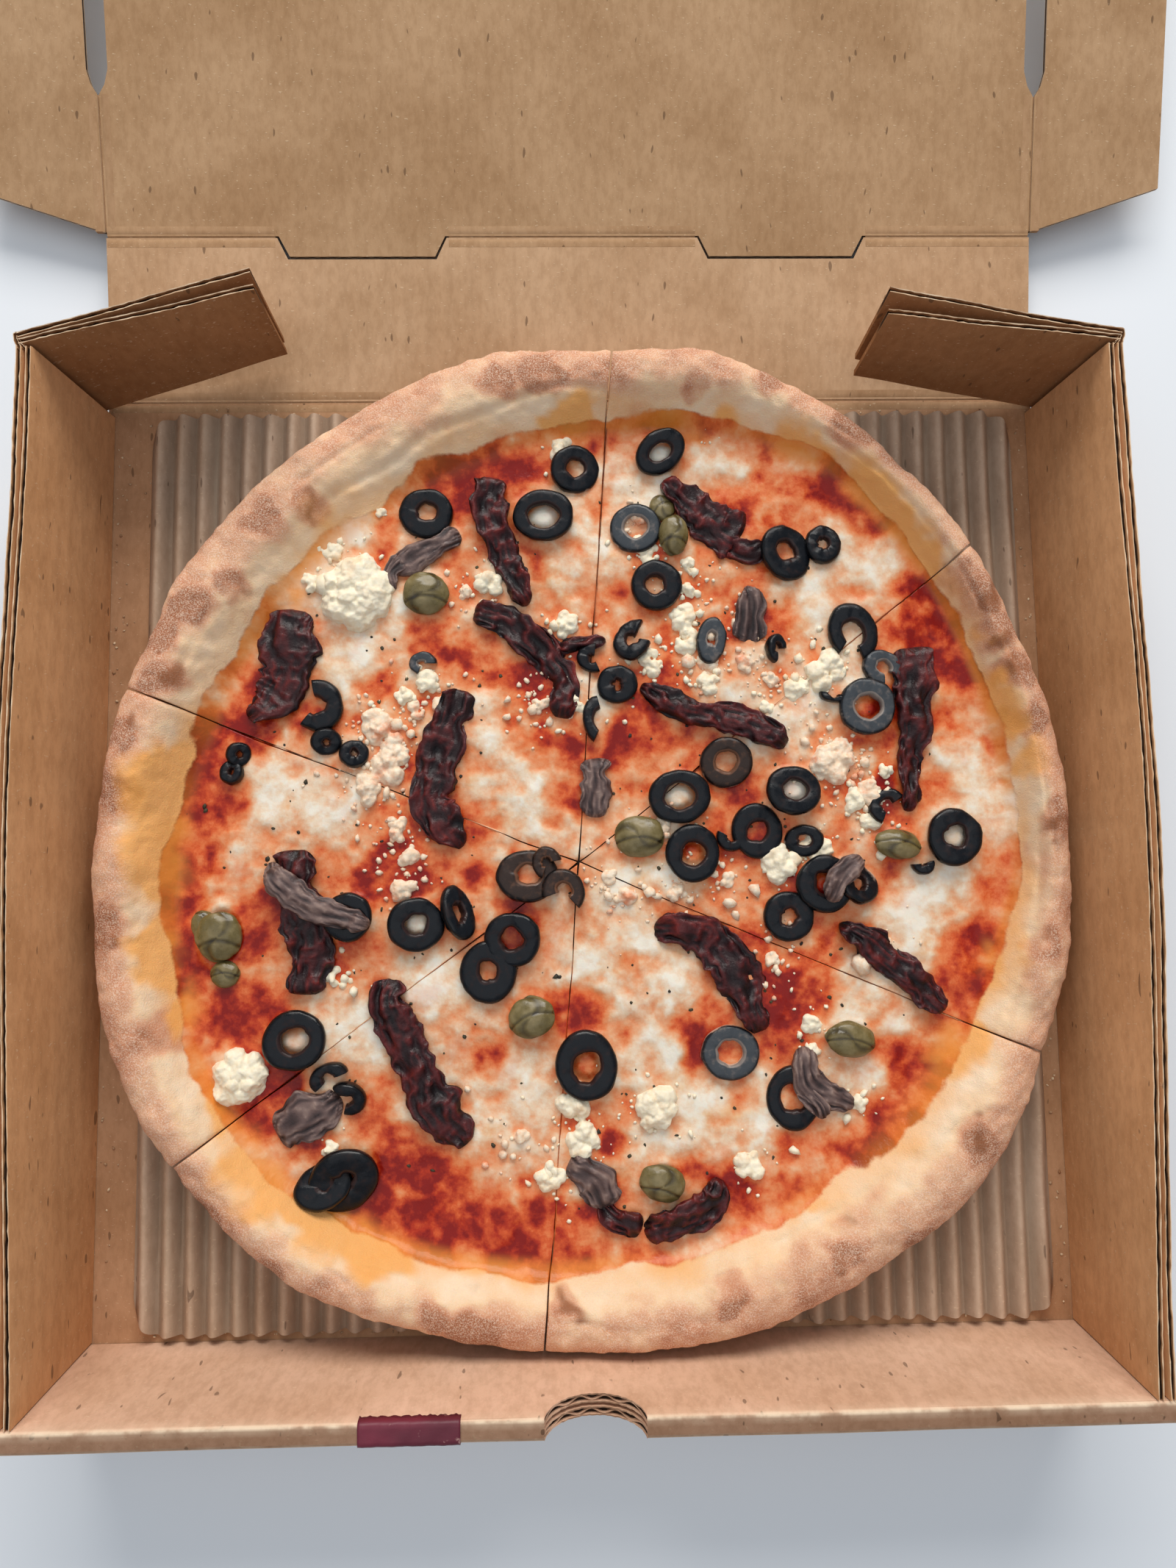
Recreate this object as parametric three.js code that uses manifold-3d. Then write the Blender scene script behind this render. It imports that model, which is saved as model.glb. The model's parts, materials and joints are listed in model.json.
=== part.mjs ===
// A twelve-inch pizza, cut in six, in its open corrugated-board takeaway box.
// Millimetres. X to the right, Y to the back, Z up; the origin is the centre of the tray's underside.
import * as THREE from 'three';
import { mergeVertices } from 'three/addons/utils/BufferGeometryUtils.js';
import Module from 'manifold-3d';

const wasm = await Module();
wasm.setup();

// ---- Driving dimensions ----------------------------------------------------------------

const BOARD = 1.8; // thickness of one leaf of corrugated board
const GAP = 0.3; // between pieces that touch
const HALF_WIDTH = 155; // centre line to the side walls' inner faces, at the floor
const FRONT = -151; // front wall's inner face, at the floor
const BACK = 154; // fold of the back wall
const WALL_TOP = 50 + BOARD; // the walls stand 50 above the floor
const WALL_THICK = 4.4; // double side wall: two leaves and the air between them

const FRONT_LEAN = 3.3; // how far the front wall's top leans out
const FRONT_THICK = [6, 6.1]; // front wall, at its foot and at its top
const NOTCH = { x: 1, radius: 14, rise: 1.2 }; // thumb notch, its circle centred above the wall top

const FLAP = { length: 62, foot: 1.3, lift: 9, inset: 1.2 }; // rear corner flaps
const FLAP_Y = 150; // inner face of the flaps at the corner
const FLAP_HINGE_X = 161;
const LEFT_FLAP = { yaw: 13.5, thick: [3.9, 6.4] };
const RIGHT_FLAP = { yaw: 6.5, thick: [3.9, 8] };

const BACK_WALL = { depth: 55, halfWidth: 156.5, pitch: 8 }; // lies back nearly flat
const LID = { depth: 326, halfWidth: 156.5, pitch: 12 };
const TAB = { inner: 43, outer: 99, taper: 3.5, depth: 6.6, play: 0.5 }; // lid's two rear tabs
const SLOT = { start: 45, halfWidth: 3.25, point: 8 }; // slots between the lid and its ears
const EAR = { depth: 44, slope: 19.5 };
const LID_FLAP = { depth: 45, halfWidth: 150, taper: 5, pitch: 82 };

const STICKER = { from: -63.3, to: -35.6, thick: 0.4, inside: 3, outside: 7 };

const LINER = { left: -142, right: 149, front: -149, back: 148, chamfer: 10 };
const FLUTE = { pitch: 7.2, height: 4.7, sheet: 0.8 };

const PIE = { x: 0.5, y: 5.5 }; // centre of the pizza's outline
const PIE_BOTTOM = BOARD + FLUTE.height + 2 * GAP;
const PLATEAU = 15; // top of the sauce and cheese
const CREST = 26; // top of the rim
const RIM_LEAST = 14; // narrowest stretch of the rim
const BACK_LIMIT = 161.2; // the rim is pressed flat here by the back wall
const CUT = { x: -1, y: -3.5, kerf: 0.8 }; // where the three cuts cross
const CUT_DIRECTIONS = [38, 85.5, 158.2, 216, 265.3, 336.8];
const SLICE_STEP = 4.8; // degrees between sections of a slice

const CARD = [0.66, 0.52, 0.38];
const BAKED = [0.86, 0.72, 0.52];

// ---- Small tools -----------------------------------------------------------------------

const degrees = THREE.MathUtils.degToRad;
const mix = THREE.MathUtils.lerp;
const pie = new THREE.Group();
const box = new THREE.Group();

// A closed body from corner positions and triangles, with its faces pointing out.
function body(corners, triangles) {
  const raw = new THREE.BufferGeometry();
  raw.setAttribute('position', new THREE.Float32BufferAttribute(corners.flatMap((p) => [p.x, p.y, p.z]), 3));
  raw.setIndex(triangles.flat());
  const merged = mergeVertices(raw, 1e-4);
  const at = (i) => new THREE.Vector3().fromBufferAttribute(merged.attributes.position, i);
  const old = merged.index.array;
  let kept = [];
  let volume = 0;
  for (let i = 0; i < old.length; i += 3) {
    const [a, b, c] = [old[i], old[i + 1], old[i + 2]];
    if (a === b || b === c || c === a) continue;
    kept.push([a, b, c]);
    volume += at(a).dot(at(b).cross(at(c)));
  }
  if (volume < 0) kept = kept.map(([a, b, c]) => [a, c, b]);
  merged.setIndex(kept.flat());
  return merged;
}

// Triangles of a closed loop, seen along its own normal.
function cap(loop) {
  const normal = new THREE.Vector3();
  loop.forEach((p, i) => {
    const q = loop[(i + 1) % loop.length];
    normal.add(new THREE.Vector3(
      (p.y - q.y) * (p.z + q.z),
      (p.z - q.z) * (p.x + q.x),
      (p.x - q.x) * (p.y + q.y),
    ));
  });
  normal.normalize();
  const side = Math.abs(normal.z) < 0.9 ? new THREE.Vector3(0, 0, 1) : new THREE.Vector3(1, 0, 0);
  const u = side.cross(normal).normalize();
  const v = normal.clone().cross(u);
  const flat = loop.map((p) => new THREE.Vector2(p.dot(u), p.dot(v)));
  return THREE.ShapeUtils.triangulateShape(flat, []);
}

// A body through equal loops, one after another, closed at both ends.
function loft(loops) {
  const count = loops[0].length;
  const corners = loops.flat();
  const triangles = [];
  for (let i = 0; i + 1 < loops.length; i += 1) {
    for (let j = 0; j < count; j += 1) {
      const [a, b] = [i * count + j, i * count + ((j + 1) % count)];
      triangles.push([a, b, b + count], [a, b + count, a + count]);
    }
  }
  const last = (loops.length - 1) * count;
  for (const [a, b, c] of cap(loops[0])) triangles.push([c, b, a]);
  for (const [a, b, c] of cap(loops[loops.length - 1])) triangles.push([last + a, last + b, last + c]);
  return body(corners, triangles);
}

// A closed ring of equal loops.
function ring(loops) {
  const count = loops[0].length;
  const triangles = [];
  for (let i = 0; i < loops.length; i += 1) {
    const next = ((i + 1) % loops.length) * count;
    for (let j = 0; j < count; j += 1) {
      const k = (j + 1) % count;
      triangles.push([i * count + j, i * count + k, next + k], [i * count + j, next + k, next + j]);
    }
  }
  return body(loops.flat(), triangles);
}

// Joins or cuts are made on closed meshes with merged corners.
function toManifold(geometry) {
  const bare = new THREE.BufferGeometry();
  bare.setAttribute('position', geometry.attributes.position);
  bare.setIndex(geometry.index);
  const merged = mergeVertices(bare, 1e-4);
  return new wasm.Manifold(new wasm.Mesh({
    numProp: 3,
    vertProperties: new Float32Array(merged.attributes.position.array),
    triVerts: new Uint32Array(merged.index.array),
  }));
}

function subtract(geometry, tool) {
  const { numProp, vertProperties, triVerts } = toManifold(geometry).subtract(toManifold(tool)).getMesh();
  const cut = new THREE.BufferGeometry();
  const positions = [];
  for (let i = 0; i < vertProperties.length; i += numProp) positions.push(...vertProperties.slice(i, i + 3));
  cut.setAttribute('position', new THREE.Float32BufferAttribute(positions, 3));
  cut.setIndex([...triVerts]);
  return cut;
}

function add(group, name, geometry, color, roughness = 0.85) {
  const material = new THREE.MeshStandardMaterial({ color: new THREE.Color(...color), roughness, metalness: 0 });
  const mesh = new THREE.Mesh(geometry, material);
  mesh.name = name;
  group.add(mesh);
  return mesh;
}

// A flat panel cut to an outline, its inner face at z = 0 and its thickness below.
function panel(points) {
  const outline = new THREE.Shape(points.map(([x, y]) => new THREE.Vector2(x, y)));
  const sheet = new THREE.ExtrudeGeometry(outline, { depth: BOARD, bevelEnabled: false, curveSegments: 8 });
  sheet.deleteAttribute('normal');
  sheet.deleteAttribute('uv');
  return mergeVertices(sheet.translate(0, 0, -BOARD), 1e-4);
}

// ---- The tray: floor, double side walls, front wall and liner --------------------------

const floorEdge = HALF_WIDTH + WALL_THICK - BOARD - GAP;
const frontFoot = FRONT - FRONT_THICK[0];
const floorFront = frontFoot + BOARD + GAP;
const floorDepth = BACK - GAP - floorFront;
const floor = new THREE.BoxGeometry(2 * floorEdge, floorDepth, BOARD);
floor.translate(0, floorFront + floorDepth / 2, BOARD / 2);
add(box, 'tray_floor', floor, CARD);

// How far the side walls bulge out at the top: most in the middle, least at the front.
function flare(y) {
  return mix(1, 4.5, (y - FRONT) / (BACK - FRONT)) + 3.8 * Math.cos((y / 155) * (Math.PI / 2)) ** 2;
}

// Section of a wall folded over at the top: outer leaf, fold, inner leaf standing on the floor.
function foldedLoop(foot, top, thickFoot, thickTop, place) {
  const stand = BOARD + GAP;
  return [
    [foot, stand],
    [top, WALL_TOP],
    [top + thickTop, WALL_TOP],
    [foot + thickFoot, 0],
    [foot + thickFoot - BOARD, 0],
    [top + thickTop - BOARD, WALL_TOP - BOARD],
    [top + BOARD, WALL_TOP - BOARD],
    [foot + BOARD, stand],
  ].map(([out, z]) => place(out, z));
}

function sideWall(side) {
  const [from, to] = [FRONT + 0.4, FLAP_Y - FLAP.inset];
  const steps = 12;
  const loops = [];
  for (let i = 0; i <= steps; i += 1) {
    const y = mix(from, to, i / steps);
    const lean = i === 0 ? FRONT_LEAN : 0; // the front end follows the leaning front wall
    loops.push(foldedLoop(HALF_WIDTH, HALF_WIDTH + flare(y), WALL_THICK, WALL_THICK,
      (out, z) => new THREE.Vector3(side * out, y - (lean * z) / WALL_TOP, z)));
  }
  return loft(loops);
}
add(box, 'left_wall', sideWall(-1), CARD);
add(box, 'right_wall', sideWall(1), CARD);

function frontWall() {
  const half = HALF_WIDTH + WALL_THICK + 1;
  const loops = [-half, half].map((x) => foldedLoop(-FRONT, -FRONT + FRONT_LEAN, ...FRONT_THICK,
    (out, z) => new THREE.Vector3(x, -out, z)));
  const thumb = new THREE.CylinderGeometry(NOTCH.radius, NOTCH.radius, 40, 24);
  thumb.translate(NOTCH.x, FRONT - FRONT_LEAN - FRONT_THICK[1] / 2, WALL_TOP + NOTCH.rise);
  const centre = new THREE.Vector3(NOTCH.x, FRONT - FRONT_LEAN, WALL_TOP + NOTCH.rise);
  thumb.translate(-centre.x, -centre.y, -centre.z).rotateX(Math.PI / 2);
  thumb.translate(centre.x, centre.y, centre.z);
  thumb.deleteAttribute('normal');
  thumb.deleteAttribute('uv');
  return subtract(loft(loops), thumb);
}
add(box, 'front_wall', frontWall(), CARD);

// The paper seal folded over the front wall's top.
function sticker() {
  const [inner, outer] = [FRONT - FRONT_LEAN, FRONT - FRONT_LEAN - FRONT_THICK[1]];
  const leanIn = FRONT_LEAN / (WALL_TOP - BOARD);
  const leanOut = (outer - frontFoot) / WALL_TOP;
  const { thick, inside, outside } = STICKER;
  const skin = (offset) => [
    [inner + offset + leanIn * inside, WALL_TOP - inside],
    [inner + offset, WALL_TOP + offset],
    [outer - offset, WALL_TOP + offset],
    [outer - offset - leanOut * outside, WALL_TOP - outside],
  ];
  const section = [...skin(GAP), ...skin(GAP + thick).reverse()];
  return loft([STICKER.from, STICKER.to].map((x) => section.map(([y, z]) => new THREE.Vector3(x, y, z))));
}
add(box, 'sticker', sticker(), [0.41, 0.1, 0.17], 0.6);

// Single-faced board: a flat sheet with flutes running front to back, its corners cut off.
function liner() {
  const bottom = BOARD + GAP;
  const count = Math.floor((LINER.right - LINER.left) / FLUTE.pitch);
  const pitch = (LINER.right - LINER.left) / count;
  const profile = [[LINER.left, bottom], [LINER.right, bottom]];
  for (let i = count; i > 0; i -= 1) {
    const x = LINER.left + i * pitch;
    profile.push([x, bottom + FLUTE.sheet], [x - pitch * 0.35, bottom + FLUTE.height]);
    profile.push([x - pitch * 0.65, bottom + FLUTE.height]);
  }
  profile.push([LINER.left, bottom + FLUTE.sheet]);
  const cut = (x) => Math.max(0, LINER.chamfer - Math.min(x - LINER.left, LINER.right - x));
  return loft([
    profile.map(([x, z]) => new THREE.Vector3(x, LINER.front + cut(x), z)),
    profile.map(([x, z]) => new THREE.Vector3(x, LINER.back - cut(x), z)),
  ]);
}
add(box, 'liner', liner(), [0.58, 0.5, 0.42]);

// ---- Rear corner flaps, folded in from the ends of the side walls -----------------------

// The two leaves of a flap part towards its free end; its lower edge rises to clear the back wall.
function cornerFlap(side, { yaw, thick }) {
  const loops = [0, 0.5, 1].map((t) => {
    const along = t * (FLAP.length + FLAP_HINGE_X - HALF_WIDTH);
    const low = BOARD + FLAP.foot + FLAP.lift * t;
    const deep = mix(...thick, t);
    const root = t === 0 ? [3, -2.3] : [0, 0]; // the root follows the side wall's flare
    return [
      [root[0], 0, low],
      [root[1], 0, WALL_TOP],
      [root[1], deep, WALL_TOP],
      [root[0], deep, low],
      [root[0], deep - BOARD, low],
      [root[1], deep - BOARD, WALL_TOP - BOARD],
      [root[1], BOARD, WALL_TOP - BOARD],
      [root[0], BOARD, low],
    ].map(([x, y, z]) => new THREE.Vector3(-side * (along + x), y, z));
  });
  const flap = loft(loops);
  const turn = new THREE.Group();
  turn.position.set(side * FLAP_HINGE_X, FLAP_Y, 0);
  turn.rotation.z = degrees(-side * yaw);
  box.add(turn);
  add(turn, side < 0 ? 'left_flap' : 'right_flap', flap, CARD);
}
cornerFlap(-1, LEFT_FLAP);
cornerFlap(1, RIGHT_FLAP);

// ---- Back wall and lid ------------------------------------------------------------------

// Each tab is a trapezium reaching from the lid into a recess in the back wall's edge.
function tabPoints(side, margin) {
  const { inner, outer, taper, depth } = TAB;
  return [
    [side * (inner - margin), 0],
    [side * (inner - margin + taper), depth + margin],
    [side * (outer + margin - taper), depth + margin],
    [side * (outer + margin), 0],
  ];
}

const backWallFold = new THREE.Group();
backWallFold.position.set(0, BACK, BOARD);
backWallFold.rotation.x = degrees(BACK_WALL.pitch);
box.add(backWallFold);
const { depth: wallDepth, halfWidth: backHalf } = BACK_WALL;
const recess = (side) => tabPoints(side, TAB.play).map(([x, y]) => [x, wallDepth - GAP - y]);
add(backWallFold, 'back_wall', panel([
  [-backHalf, GAP],
  [backHalf, GAP],
  [backHalf, wallDepth - GAP],
  ...recess(1).reverse(),
  ...recess(-1),
  [-backHalf, wallDepth - GAP],
]), CARD);

const lidFold = new THREE.Group();
lidFold.position.set(
  0,
  BACK + wallDepth * Math.cos(degrees(BACK_WALL.pitch)),
  BOARD + wallDepth * Math.sin(degrees(BACK_WALL.pitch)),
);
lidFold.rotation.x = degrees(LID.pitch);
box.add(lidFold);
const slotEnd = LID.depth - SLOT.start;
const crease = LID.halfWidth - GAP;
const lidTab = (side) => tabPoints(side, 0).map(([x, y]) => [x, GAP - y]);
// Half of a slot's outline, from the crease in by `out` and back, with pointed ends.
const halfSlot = (x, out) => [
  [x, SLOT.start],
  [x + out * 0.6, SLOT.start + SLOT.point * 0.4],
  [x + out, SLOT.start + SLOT.point],
  [x + out, slotEnd - SLOT.point],
  [x + out * 0.6, slotEnd - SLOT.point * 0.4],
  [x, slotEnd],
];
add(lidFold, 'lid', panel([
  [-crease, GAP],
  ...lidTab(-1).reverse(),
  ...lidTab(1),
  [crease, GAP],
  ...halfSlot(crease, -SLOT.halfWidth),
  [crease, LID.depth - GAP],
  [-crease, LID.depth - GAP],
  ...halfSlot(-crease, SLOT.halfWidth).reverse(),
]), CARD);

// The ears lie nearly level beside the lid, joined to it in front of and behind the slots.
function ear(side) {
  const rise = EAR.depth * Math.tan(degrees(EAR.slope));
  const fold = new THREE.Group();
  fold.position.set(side * LID.halfWidth, 0, 0);
  lidFold.add(fold);
  const points = [
    [GAP, 1.5],
    [EAR.depth, rise],
    [EAR.depth, LID.depth - rise],
    [GAP, LID.depth - 1.5],
    ...halfSlot(GAP, SLOT.halfWidth).reverse(),
  ].map(([x, y]) => [side * x, y]);
  add(fold, side < 0 ? 'left_ear' : 'right_ear', panel(side > 0 ? points : points.reverse()), CARD);
}
ear(-1);
ear(1);

const lidFlapFold = new THREE.Group();
lidFlapFold.position.set(0, LID.depth, 0);
lidFlapFold.rotation.x = degrees(LID_FLAP.pitch - LID.pitch);
lidFold.add(lidFlapFold);
add(lidFlapFold, 'lid_front_flap', panel([
  [-LID_FLAP.halfWidth, GAP],
  [LID_FLAP.halfWidth, GAP],
  [LID_FLAP.halfWidth - LID_FLAP.taper, LID_FLAP.depth - 6],
  [LID_FLAP.halfWidth - LID_FLAP.taper - 6, LID_FLAP.depth],
  [-LID_FLAP.halfWidth + LID_FLAP.taper + 6, LID_FLAP.depth],
  [-LID_FLAP.halfWidth + LID_FLAP.taper, LID_FLAP.depth - 6],
]), CARD);

// ---- The pizza: six slices --------------------------------------------------------------

// A mean radius with a few slow waves around it: [height, how many round, where the crest lies].
function waves(angle, mean, list) {
  return list.reduce((sum, [height, order, crest]) => (
    sum + height * Math.cos(order * angle - degrees(crest))), mean);
}

function outerRadius(angle) {
  const free = waves(angle, 155.6, [[1.9, 1, -41], [3.1, 2, 151], [3.4, 3, -108], [1.6, 4, -166]]);
  const rise = Math.sin(angle);
  return rise > 0.5 ? Math.min(free, (BACK_LIMIT - PIE.y) / rise) : free;
}

function innerRadius(angle) {
  const free = waves(angle, 134.5, [[6.5, 1, 0], [8.2, 2, 84], [1.4, 4, 162]]);
  return Math.min(free, outerRadius(angle) - RIM_LEAST);
}

// How far a ray from `start` runs until it meets a radius taken about the pizza's centre.
function reach(start, angle, radius) {
  const ray = new THREE.Vector2(Math.cos(angle), Math.sin(angle));
  let length = radius(angle);
  for (let i = 0; i < 12; i += 1) {
    const x = start.x + ray.x * length - PIE.x;
    const y = start.y + ray.y * length - PIE.y;
    length += radius(Math.atan2(y, x)) - Math.hypot(x, y);
  }
  return length;
}

function slice(from, to) {
  const middle = (from + to) / 2;
  const back = CUT.kerf / 2 / Math.sin((to - from) / 2);
  const tip = { x: CUT.x + back * Math.cos(middle), y: CUT.y + back * Math.sin(middle) };
  const steps = Math.ceil((to - from) / degrees(SLICE_STEP));
  const loops = [];
  for (let i = 0; i <= steps; i += 1) {
    const angle = mix(from, to, i / steps);
    const outer = reach(tip, angle, outerRadius);
    const inner = reach(tip, angle, innerRadius);
    const rim = outer - inner;
    const crest = waves(angle, CREST, [[0.9, 5, 60], [0.6, 9, 10]]);
    loops.push([
      [0, PLATEAU],
      [inner, PLATEAU],
      [inner + rim * 0.22, mix(PLATEAU, crest, 0.55)],
      [inner + rim * 0.5, crest],
      [outer - 3.2, crest - 1.2],
      [outer, crest - 4],
      [outer - 0.4, crest - 6.5],
      [outer - 3.4, 14.5],
      [outer - 6.8, 10],
      [outer - 13, PIE_BOTTOM],
      [0, PIE_BOTTOM],
    ].map(([along, z]) => new THREE.Vector3(tip.x + along * Math.cos(angle), tip.y + along * Math.sin(angle), z)));
  }
  return loft(loops);
}
CUT_DIRECTIONS.forEach((direction, i) => {
  const next = CUT_DIRECTIONS[(i + 1) % CUT_DIRECTIONS.length] + (i === CUT_DIRECTIONS.length - 1 ? 360 : 0);
  add(pie, `slice_${i + 1}`, slice(degrees(direction), degrees(next)), BAKED);
});

// ---- Toppings, lying on the cheese ------------------------------------------------------

const SEAT = PLATEAU + GAP;

// A slice of pitted olive: a rounded ring.
function olive(x, y, width, length, turn, hole = 0.46, tall = 5.2) {
  const loops = [];
  const segments = 16;
  for (let i = 0; i < segments; i += 1) {
    const angle = (i / segments) * 2 * Math.PI;
    loops.push([
      [1, 0.18], [0.99, 0.75], [0.82, 1], [hole + 0.12, 0.95], [hole, 0.5], [hole + 0.08, 0],
      [0.88, 0],
    ].map(([out, up]) => {
      const p = new THREE.Vector2((width / 2) * out * Math.cos(angle), (length / 2) * out * Math.sin(angle));
      p.rotateAround(new THREE.Vector2(), degrees(turn));
      return new THREE.Vector3(x + p.x, y + p.y, SEAT + tall * up);
    }));
  }
  return ring(loops);
}

const OLIVES = [
  [27.5, 129.5, 17, 12.5, 35], [-10.8, 108.4, 19, 16, 0], [92.2, 44.9, 17.6, 17.6, 0],
  [31.4, 16.9, 19, 16.4, 0], [67.6, 18.3, 17.2, 15.2, 0], [35.2, -1.2, 16.6, 17.6, 0],
  [118.4, 2.9, 16.6, 17.6, 0], [-52, -22.1, 17, 16, 0], [0.6, -66.4, 18.6, 20.8, 0],
  [-89.3, -57, 19, 17.6, 0], [76.9, -11.3, 17.4, 17.4, 0], [-73, -19.4, 14.6, 14.6, 0],
];
OLIVES.forEach(([x, y, width, length, turn], i) => {
  add(pie, `olive_${i + 1}`, olive(x, y, width, length, turn), [0.1, 0.11, 0.125], 0.35);
});

// A strip along a smooth line, thick in the middle and wavy on top; `spots` are [x, y, width].
function strip(spots, tall, lift = 0, wave = 0.12) {
  const line = new THREE.CatmullRomCurve3(spots.map(([x, y]) => new THREE.Vector3(x, y, 0)));
  const widths = new THREE.CatmullRomCurve3(spots.map(([, , width], i) => new THREE.Vector3(i, width, 0)));
  const steps = Math.max(5, Math.round(line.getLength() / 7));
  const loops = [];
  for (let i = 0; i <= steps; i += 1) {
    const t = i / steps;
    const at = line.getPoint(t);
    const along = line.getTangent(t);
    const half = widths.getPoint(t).y / 2;
    const high = tall * (1 + wave * Math.sin(i * 2.4 + spots[0][0]));
    loops.push([
      [-0.8, 0], [-1, 0.4], [-0.6, 0.95], [0, 0.8], [0.6, 1], [1, 0.45], [0.8, 0],
    ].map(([out, up]) => new THREE.Vector3(
      at.x - along.y * half * out,
      at.y + along.x * half * out,
      SEAT + lift + high * up,
    )));
  }
  return loft(loops);
}

const TOMATOES = [
  [[-26.9, 122, 8], [-28.4, 112.1, 9.3], [-24.8, 101.9, 9.3], [-22.6, 91.2, 9.3], [-16.5, 79.5, 6]],
  [[-34, 77.3, 7], [-23.5, 74.3, 9], [-16, 67.3, 9], [-8.6, 60.3, 8.8], [-4.2, 52.7, 8.8], [-5.8, 42.5, 7]],
  [[28, 120.5, 4], [35.7, 113.9, 8], [45, 105.5, 14], [53, 100.7, 18]],
  [[19.7, 53, 5], [32.7, 45.6, 8], [47.4, 42.4, 8.5], [59.3, 37.7, 8], [66.4, 33, 6]],
  [[107.4, 64.7, 11], [108.3, 53.1, 13], [107.4, 40.3, 10], [105.6, 28.5, 8], [105.2, 11, 5]],
  [[-90, 79, 9], [-92.5, 67, 16], [-94, 56, 17], [-99, 48, 11], [-106, 44.5, 4]],
  [[-37.9, 52.6, 9], [-41.2, 39.6, 11], [-46.3, 25.7, 12], [-48, 16, 11], [-44, 8.2, 9], [-37.8, 1.6, 6]],
  [[22.3, -25.4, 8], [34.5, -26, 10.5], [43.8, -31.9, 12], [49.5, -42, 12], [55.5, -57.5, 8]],
  [[81.5, -24, 5], [89, -28.9, 8], [98.9, -38, 9], [108.3, -46.1, 8], [113.2, -52, 5]],
  [[-59.6, -38.7, 8], [-60.3, -48.4, 11], [-50, -69.9, 12.5], [-44.3, -81.1, 12], [-36, -89.5, 7]],
  [[-89.4, 2, 10], [-89.2, -8, 10.5], [-86, -23.2, 11], [-86.6, -43.5, 10]],
  [[17.5, -117.3, 7], [29.3, -113.7, 9.5], [38, -108.2, 9.5], [41.5, -101.5, 6]],
];
TOMATOES.forEach((spots, i) => {
  add(pie, `sun_dried_tomato_${i + 1}`, strip(spots, 4.6), [0.28, 0.09, 0.09], 0.45);
});

// Anchovy fillets; the second lies across a strip of tomato, the fourth across an olive.
const ANCHOVIES = [
  { spots: [[-58.8, 90.6, 5], [-52.4, 95.7, 7.2], [-44, 100.2, 7], [-38, 104.4, 4]] },
  { spots: [[-97.6, -4.8, 6], [-89.5, -12.2, 8], [-79.5, -17.4, 8], [-66, -22, 5]], lift: 5.8 },
  { spots: [[3.9, 29.7, 9], [5, 20, 12.4], [5, 10.6, 9]] },
  { spots: [[88, -3, 6], [82, -8, 7], [77.5, -17, 5]], lift: 5.6 },
  { spots: [[-95.5, -85.2, 9], [-86, -80.2, 13.6], [-75.4, -74.6, 8]] },
  { spots: [[-6, -96.6, 8], [2.6, -100.6, 11], [6.4, -107.6, 9]] },
  { spots: [[68.3, -61.9, 6], [69.3, -72, 8.6], [76, -76.6, 8.6], [83.8, -80.7, 6]] },
];
ANCHOVIES.forEach(({ spots, lift }, i) => {
  add(pie, `anchovy_${i + 1}`, strip(spots, 4, lift, 0.06), [0.38, 0.3, 0.29], 0.5);
});

// A lumpy dome with a flat foot.
function lump(x, y, width, length, turn, tall, bumps) {
  const rows = [[0.8, 0], [1, 0.3], [0.86, 0.68], [0.5, 0.93]];
  const segments = 12;
  const corners = [new THREE.Vector3(x, y, SEAT), new THREE.Vector3(x, y, SEAT + tall)];
  rows.forEach(([out, up], row) => {
    for (let i = 0; i < segments; i += 1) {
      const angle = (i / segments) * 2 * Math.PI;
      const swell = out * (1 + bumps * Math.sin(3 * angle + row) + bumps * Math.cos(5 * angle - 2 * row) * 0.5);
      const p = new THREE.Vector2((width / 2) * swell * Math.cos(angle), (length / 2) * swell * Math.sin(angle));
      p.rotateAround(new THREE.Vector2(), degrees(turn));
      corners.push(new THREE.Vector3(x + p.x, y + p.y, SEAT + tall * up));
    }
  });
  const triangles = [];
  const last = 2 + (rows.length - 1) * segments;
  for (let i = 0; i < segments; i += 1) {
    const next = (i + 1) % segments;
    triangles.push([0, 2 + next, 2 + i], [1, last + i, last + next]);
    for (let row = 2; row < last; row += segments) {
      triangles.push([row + i, row + next, row + segments + next]);
      triangles.push([row + i, row + segments + next, row + segments + i]);
    }
  }
  return body(corners, triangles);
}

const CAPERS = [
  [-48.8, 83.2, 15, 13.6, 0], [31.2, 101.6, 9.6, 13.4, 0], [18.3, 4.4, 16, 13, 0],
  [-16.3, -51.2, 14.4, 13, 20], [100.6, 0.8, 15, 9.6, -10], [82.8, -59.7, 16, 11, -10],
  [-112.9, -24.8, 14.5, 20, 0], [23.4, -102.2, 14.4, 11.6, -15],
];
CAPERS.forEach(([x, y, width, length, turn], i) => {
  add(pie, `caper_berry_${i + 1}`, lump(x, y, width, length, turn, 6.4, 0.05), [0.42, 0.4, 0.24], 0.4);
});

const FETA = [
  [-71.2, 84, 20, 19, 0, 8], [-106.5, -68.5, 14.4, 17, 0, 7],
];
FETA.forEach(([x, y, width, length, turn, tall], i) => {
  add(pie, `feta_${i + 1}`, lump(x, y, width, length, turn, tall, 0.07), [0.95, 0.91, 0.82]);
});

const scene = new THREE.Group();
scene.add(box, pie);
export default scene;
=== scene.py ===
"""A twelve-inch pizza, cut in six, in its open corrugated-board box. Metres, +Z up."""
import itertools
import json
import math

import bmesh
import bpy
import numpy as np
from mathutils import Euler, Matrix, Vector
from mathutils.geometry import tessellate_polygon


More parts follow.
